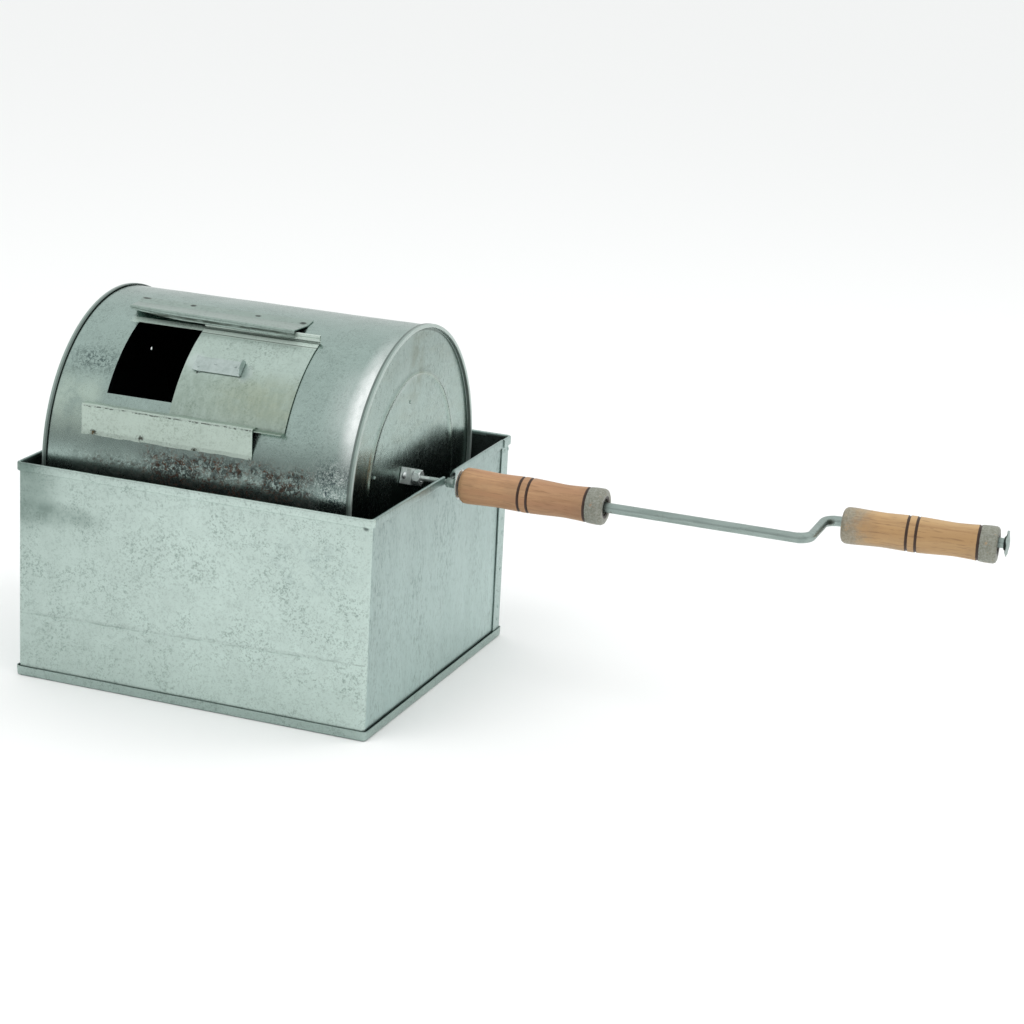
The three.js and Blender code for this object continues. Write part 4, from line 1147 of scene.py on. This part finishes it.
def rail_upper():
    # foot on the shell, a plate that stands off it, then the face with its grooved lip
    foot = [on_arc(DR + 0.4, 80.5 - 4.6 * k / 6) for k in range(7)]
    line = foot + [(-62.0, 136.4), (-62.0, 133.4), (-61.4, 132.9), (-61.4, 132.0), (-62.0, 131.5), (-62.0, 129.9), (-60.9, 129.8)]
    line = fillet(line, [0] * 6 + [1.2, 0.5, 0.4, 0.4, 0.5, 0.5], 4)

    def wave(p, k):
        x, y, z = p
        f = min(1.0, max(0.0, (-y - 33) / 29))             # 0 at the foot, 1 at the lip
        t = min(1.0, max(0.0, (x + 113) / 161))
        lip = 1.0 if y < -60 else 0.0
        if f > 0:
            z -= 2.2 * f * t                               # fitted a little askew
        x += 8.4 * f * max(0.0, 1 - (x + 122.3) / 45)
        if lip:
            top = AXIS + 136.6 - 2.2 * t
            z = top - (top - z) * (0.42 + 0.58 * min(1.0, max(0.0, (x + 116) / 46)))     # the lip runs out towards its left end
        z += (0.40 * ripple(x, 0, 0, 34, 2.0) + 0.18 * ripple(x, 0, 0, 11, 5.0)) * lip
        y += 0.28 * ripple(x, 0, z, 22, 4.0) * lip
        return [x, y, z]
    return x_sheet("upper_guide_rail", [(y, z + AXIS) for y, z in dense(line, 1.6)], -122.3, 48.0, RT, [M_RAILU], "drum", ["rail_upper"], 3.0, wave, smooth=40)


up = rail_upper()


def rail_lower():
    foot = [on_arc(DR + 0.4, 14 + 1.5 * k / 3) for k in range(4)]
    line = foot + [(-132.8, 60.6), (-125.2, 60.6)]
    line = fillet(line, [0] * 2 + [1.5, 1.2], 4)

    def wave(p, k):
        x, y, z = p
        zz = z - AXIS
        low = max(0.0, 1 - (zz - 33.2) / 7)
        z += (1.3 * ripple(x, 0, 0, 30, 3.3) + 0.7 * ripple(x, 0, 0, 9, 1.3)) * low
        if 38 < zz < 60:
            y += 0.4 * ripple(x, 0, zz, 34, 7.0)
        if zz > 59.5:
            z += 0.30 * ripple(x, 0, 0, 20, 2.5) + 0.12 * ripple(x, 0, 0, 6, 2.5)
        return [x, y, z]
    return x_sheet("lower_guide_rail", [(y, z + AXIS) for y, z in dense(line, 2.2)], -122.3, 44.5, RT, [M_RAIL], "drum", ["rail_lower"], 2.5, wave, smooth=40)


low_rail = rail_lower()

# door: curved sheet with both long edges turned out to run under the rails
d_line = [(-131.8, 58.45), (-124.1, 58.45)] + [on_arc(DR + 0.35, 25.6 + 40.3 * k / 22) for k in range(23)] + [(-56.3, 131.75), (-58.1, 131.75), (-58.1, 129.9), (-57.5, 129.4), (-57.5, 128.8), (-58.1, 128.3), (-58.1, 126.5)]
d_line = fillet(d_line, [0.9] + [0] * 22 + [0.9, 0.7, 0.7, 0.4, 0.4, 0.4, 0.4], 4)


def door_wave(p, k):
    x, y, z = p
    zz = z - AXIS
    if zz < 59.5 and y < -125:
        z += 0.25 * ripple(x, 0, 0, 24, 1.0)
    elif zz < 124 and y < -56.5:
        f = 1 + (0.0028 * max(0.0, (x - 40) / 31) ** 2 + 0.0012 * ripple(x, y, zz, 40, 3.0))
        f = max(f, 1.0)
        y, z = y * f, AXIS + zz * f
    return [x, y, z]


x_sheet("sliding_door", [(y, z + AXIS) for y, z in dense(d_line, 3.2)], -41.0, 71.0, 0.7, [M_DOOR], "door", ["door_panel"], 4.0, door_wave, smooth=40)


def pull():
    line = dense(fillet([(-31.2, 1.9), (-28.6, 0.4), (14.9, 0.4), (15.5, 9.8)], [1.0, 0.9], 6), 1.8)
    a = math.radians(47.0)
    out = Vector((0, -math.cos(a), math.sin(a)))
    along = Vector((0, math.sin(a), math.cos(a)))
    base = DR + 0.7 + 0.32
    grid = []
    for x, h in line:
        ear = max(0.0, (h - 2.2) / 7.6)
        half = 7.5 - 2.6 * ear ** 1.4
        row = []
        for k in range(13):
            w = -half + 2 * half * k / 12
            lift = h - 1.3 * ear * (abs(w) / max(half, 0.1)) ** 3
            hh = base + lift + (0.25 * ripple(x, w, 0, 12, 2.0) if h < 1 else 0.0) + 0.05
            p = out * hh + along * w
            row.append((x, p.y, p.z + AXIS))
        grid.append(row)
    ob = sheet_from_grid("door_pull_strap", grid, None, 0.8, [M_PULL], "door", ["door_pull"], smooth=45)
    outward(ob)
    shade(ob, 45)
    spots = []
    for x, w, r in ((-26.8, -3.3, 0.9), (-12.0, 1.75, 1.3), (7.5, 1.6, 1.0)):
        c = out * (base + 0.85) + along * w
        spots.append(((x, c.y, c.z + AXIS), tuple(out), r, 0.75, False))
    for x, w in ((-26.0, -7.3), (-24.6, -7.6)):
        c = out * (base + 0.4) + along * w
        spots.append(((x, c.y, c.z + AXIS), tuple(out), 0.8, 0.9, False))
    join_extra(ob, spots)
    bevelled(ob, 0.2)
    return ob


pull()

# ------------------------------------------------------------------ crank bar
THROW, CX, PEND, LEAN = 60.0, 507.0, 662.9, math.tan(math.radians(4))
TY, TZ = 60 / math.hypot(60, 2), 2 / math.hypot(60, 2)
rod_start = BX + 2.2 + 0.9
line2 = fillet([(rod_start, 0), (CX, 0), (CX, THROW), (PEND, THROW + (PEND - CX) * LEAN)], 12, 14)
line2 = dense(line2, 3.0)


def crank_bar():
    b = Vector((0, -TZ, TY))
    sides = 36
    rings = []
    n = len(line2)
    for i, p in enumerate(line2):
        a, c = line2[max(i - 1, 0)], line2[min(i + 1, n - 1)]
        l = math.hypot(c[0] - a[0], c[1] - a[1])
        t = ((c[0] - a[0]) / l, (c[1] - a[1]) / l)
        nrm = Vector((-t[1], t[0] * TY, t[0] * TZ))
        o = Vector((p[0], p[1] * TY, p[1] * TZ + AXIS))
        bend = 1.0 if (abs(p[0] - CX) < 11.5 and 0.3 < p[1] < THROW) else 0.0
        ring = []
        for k in range(sides):
            w = 2 * math.pi * k / sides
            r = 4.5 + 0.05 * ripple(p[0], 8 * math.cos(w), 8 * math.sin(w), 14, 2.0)
            if p[0] < 184:                               # staked on to the spindle: three pinches
                for px, ww in ((177.0, 3.9), (180.5, 2.6), (179.0, 5.3), (178.0, 1.2)):
                    dw = (w - ww + math.pi) % (2 * math.pi) - math.pi
                    r -= 0.95 * math.exp(-((p[0] - px) / 1.5) ** 2 - (dw / 0.45) ** 2)
            rx = r * (1 - 0.05 * bend)
            rb = r * (1 + 0.045 * bend)
            ring.append(tuple(o + nrm * (rx * math.cos(w)) + b * (rb * math.sin(w))))
        rings.append(ring)
    # rounded far end, and the bore at the near end
    d = Vector((1, LEAN * TY, LEAN * TZ)).normalized()

    def shrink(ring, f, shift):
        c = Vector((0, 0, 0))
        for q in ring:
            c += Vector(q)
        c /= len(ring)
        return [tuple(c + (Vector(q) - c) * f + shift) for q in ring]
    last = rings[-1]
    rings[-1] = shrink(last, 0.93, Vector((0, 0, 0)))
    rings[-2] = shrink(rings[-2], 1.0, Vector((0, 0, 0)))
    first = rings[0]
    bore_in = shrink(first, 2.95 / 4.5, Vector((0.0, 0, 0)))
    bore_deep = shrink(first, 2.95 / 4.5, Vector((206.4 - rod_start, 0, 0)))
    rings[0] = shrink(first, 0.95, Vector((0, 0, 0)))
    rings = [bore_deep, bore_in] + rings
    verts = [p for r in rings for p in r]
    faces = []
    for i in range(len(rings) - 1):
        for k in range(sides):
            l = (k + 1) % sides
            faces.append((i * sides + k, (i + 1) * sides + k, (i + 1) * sides + l, i * sides + l))
    faces.append(tuple(range(sides)))
    faces.append(tuple(range((len(rings) - 1) * sides, len(rings) * sides)))
    ob = make("crank_bar", verts, faces, [M_ROD], "drum", ["crank_rod"], None)
    outward(ob)
    shade(ob, 40)
    return ob


line2 = [(x, s) for x, s in line2]
near = [(rod_start + 0.5 * k, 0.0) for k in range(0, 24)]
line2 = near + [p for p in line2 if p[0] > rod_start + 12.2 or p[1] > 0.1]
crank_bar()

turned("thrust_washer_ring", [(185.65, 4.95), (185.6, 13.1), (185.8, 13.45), (186.8, 13.45), (187.0, 13.1), (186.95, 4.95)], 56, [M_BRIGHT], "drum", ["thrust_washer"], origin=(0, 0, AXIS), closed=True, smooth=40)

pin_dir = Vector((math.cos(math.radians(4)), math.sin(math.radians(4)) * TY, math.sin(math.radians(4)) * TZ))
PIN_ROT = Vector((1, 0, 0)).rotation_difference(pin_dir).to_matrix()
pin_end = Vector((PEND, (THROW + (PEND - CX) * LEAN) * TY, (THROW + (PEND - CX) * LEAN) * TZ + AXIS))
cap_at = pin_end - pin_dir * 1.9


def cap_tweak(v):
    x, y, z = v
    r = math.hypot(y, z)
    a = math.atan2(z, y)
    if r > 6.5:
        x += 0.45 * ((r - 6.5) / 4.8) * math.cos(6 * a)
    return (x, y, z)


turned("end_push_cap", [(2.25, 0), (2.25, 4.85), (0.0, 4.85), (0.0, 5.7), (0.7, 6.1), (1.3, 6.9), (1.9, 8.4), (2.2, 9.6), (2.15, 10.8), (2.5, 11.3), (3.1, 11.2), (3.2, 10.0), (3.5, 8.6), (4.1, 6.6), (4.6, 4.0), (4.85, 1.8), (4.9, 0)], 48, [M_ROD], "drum", ["push_cap"], origin=tuple(cap_at), frame_m=PIN_ROT, smooth=45, tweak=cap_tweak)

# ------------------------------------------------------------------ wooden grips
G_PROF = [(0, 12.6), (0.9, 14.4), (3.2, 16.0), (8, 16.3), (20, 15.7), (36, 15.1), (50, 15.6), (63, 16.0), (76, 15.5), (98, 14.5), (113, 15.2), (126, 16.4), (132.4, 16.2), (134.2, 15.2), (135, 13.6)]


def grip_radius(x):
    xs = [p[0] for p in G_PROF]
    rs = [p[1] for p in G_PROF]
    r = float(np.interp(x, xs, rs))
    # smooth the turned shape
    acc, wsum = 0.0, 0.0
    if 6 < x < 128:
        for k in range(-6, 7):
            w = math.exp(-(k / 4) ** 2)
            acc += w * float(np.interp(x + k, xs, rs))
            wsum += w
        r = acc / wsum
    for g in GROOVES:
        r -= 0.75 * math.exp(-((x - g) / 0.75) ** 2)
    return r


def grip(name, node, body, mat, matrix, seed):
    xs = sorted(set([0.0, 0.35, 0.9, 1.8, 3.0, 4.5] + [6 + 1.5 * k for k in range(84)] + [132.4, 133.4, 134.2, 134.75, 135.0] + [g + 0.3 * k for g in GROOVES for k in range(-7, 8)]))
    xs = [x for x in xs if x <= 135.0]
    prof = [(x, grip_radius(x)) for x in xs]
    prof += [(135.0, 8.6), (134.3, 7.6), (120.0, 7.4), (67.0, 7.4), (15.0, 7.4), (0.7, 7.6), (0.0, 8.4)]

    def tweak(v):
        x, y, z = v
        r = math.hypot(y, z)
        if r > 9:
            f = 1 + 0.006 * ripple(x * 0.5, y, z, 14, seed)
            y, z = y * f, z * f
        return (x, y, z)
    verts, faces = lathe(prof, 96, closed=True)
    verts = [tweak(v) for v in verts]
    me = bpy.data.meshes.new(name)
    me.from_pydata([tuple(c * MM for c in v) for v in verts], [], faces)
    ob = bpy.data.objects.new(name, me)
    scene.collection.objects.link(ob)
    me.materials.append(mat)
    outward(ob)
    shade(ob, 50)
    ob.matrix_world = matrix
    bpy.context.view_layer.update()
    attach(ob, body)
    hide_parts(node)
    return ob


grip("steady_grip_wood", "steady_grip", "steady", M_WOOD1, Matrix.Translation((189.0 * MM, 0, AXIS * MM)), 1.0)
foot = Vector((521.8, (THROW + (521.8 - CX) * LEAN) * TY, (THROW + (521.8 - CX) * LEAN) * TZ + AXIS - 2.5))
grip("crank_grip_wood", "crank_grip", "crank_handle", M_WOOD2, Matrix.Translation(foot * MM) @ PIN_ROT.to_4x4(), 5.0)

# ------------------------------------------------------------------ floor, world and lights


def floor():
    me = bpy.data.meshes.new("studio_floor")
    s = 30.0
    me.from_pydata([(-s, -s, -0.0002), (s, -s, -0.0002), (s, s, -0.0002), (-s, s, -0.0002)], [], [(0, 1, 2, 3)])
    ob = bpy.data.objects.new("studio_floor", me)
    scene.collection.objects.link(ob)
    n = Nodes("pale_floor")
    me.materials.append(n.finish(Base_Color=(0.93, 0.93, 0.93), Roughness=0.9, Specular_IOR_Level=0.1))


floor()

world = bpy.data.worlds.new("studio")
scene.world = world
world.use_nodes = True
wt = world.node_tree
wt.nodes.clear()
wo = wt.nodes.new("ShaderNodeOutputWorld")
bg = wt.nodes.new("ShaderNodeBackground")
wt.links.new(bg.outputs[0], wo.inputs[0])
tc = wt.nodes.new("ShaderNodeTexCoord")
sep = wt.nodes.new("ShaderNodeSeparateXYZ")
wt.links.new(tc.outputs["Generated"], sep.inputs[0])


def wmath(op, a, b, clamp=False):
    m = wt.nodes.new("ShaderNodeMath")
    m.operation = op
    m.use_clamp = clamp
    for v, s in ((a, m.inputs[0]), (b, m.inputs[1])):
        if isinstance(v, bpy.types.NodeSocket):
            wt.links.new(v, s)
        else:
            s.default_value = v
    return m.outputs[0]


def wrange(v, a, b, c, d):
    m = wt.nodes.new("ShaderNodeMapRange")
    m.interpolation_type = "SMOOTHSTEP"
    wt.links.new(v, m.inputs[0])
    for x, s in zip((a, b, c, d), m.inputs[1:5]):
        s.default_value = x
    return m.outputs[0]


up_dir, fwd, right = sep.outputs[2], sep.outputs[1], sep.outputs[0]
low_front = wmath("MULTIPLY", wrange(up_dir, 0.10, 0.55, 1.0, 0.0), wrange(fwd, 0.1, -0.5, 0.0, 1.0))
level = wmath("SUBTRACT", wrange(up_dir, 0.0, 0.9, 0.86, 0.96), wmath("MULTIPLY", low_front, 0.50))
level = wmath("ADD", level, wmath("MULTIPLY", wrange(right, -0.6, 0.3, 0.0, 1.0), 0.10))
wt.links.new(level, bg.inputs["Strength"])
bg.inputs["Color"].default_value = (0.985, 1.0, 0.995, 1)


def area(name, loc, target, size, power):
    d = bpy.data.lights.new(name, "AREA")
    d.shape = "RECTANGLE"
    d.size = size
    d.size_y = size
    d.energy = power
    ob = bpy.data.objects.new(name, d)
    scene.collection.objects.link(ob)
    ob.location = loc
    ob.rotation_mode = "QUATERNION"
    ob.rotation_quaternion = (Vector(target) - Vector(loc)).to_track_quat("-Z", "Y")
    ob.visible_glossy = False
    return ob


area("key_softbox", (-0.6, -1.2, 2.4), (0.05, 0, 0.1), 1.4, 16)
area("rim_softbox", (1.4, 1.0, 1.8), (0.1, 0, 0.2), 0.9, 7)

bpy.context.view_layer.update()
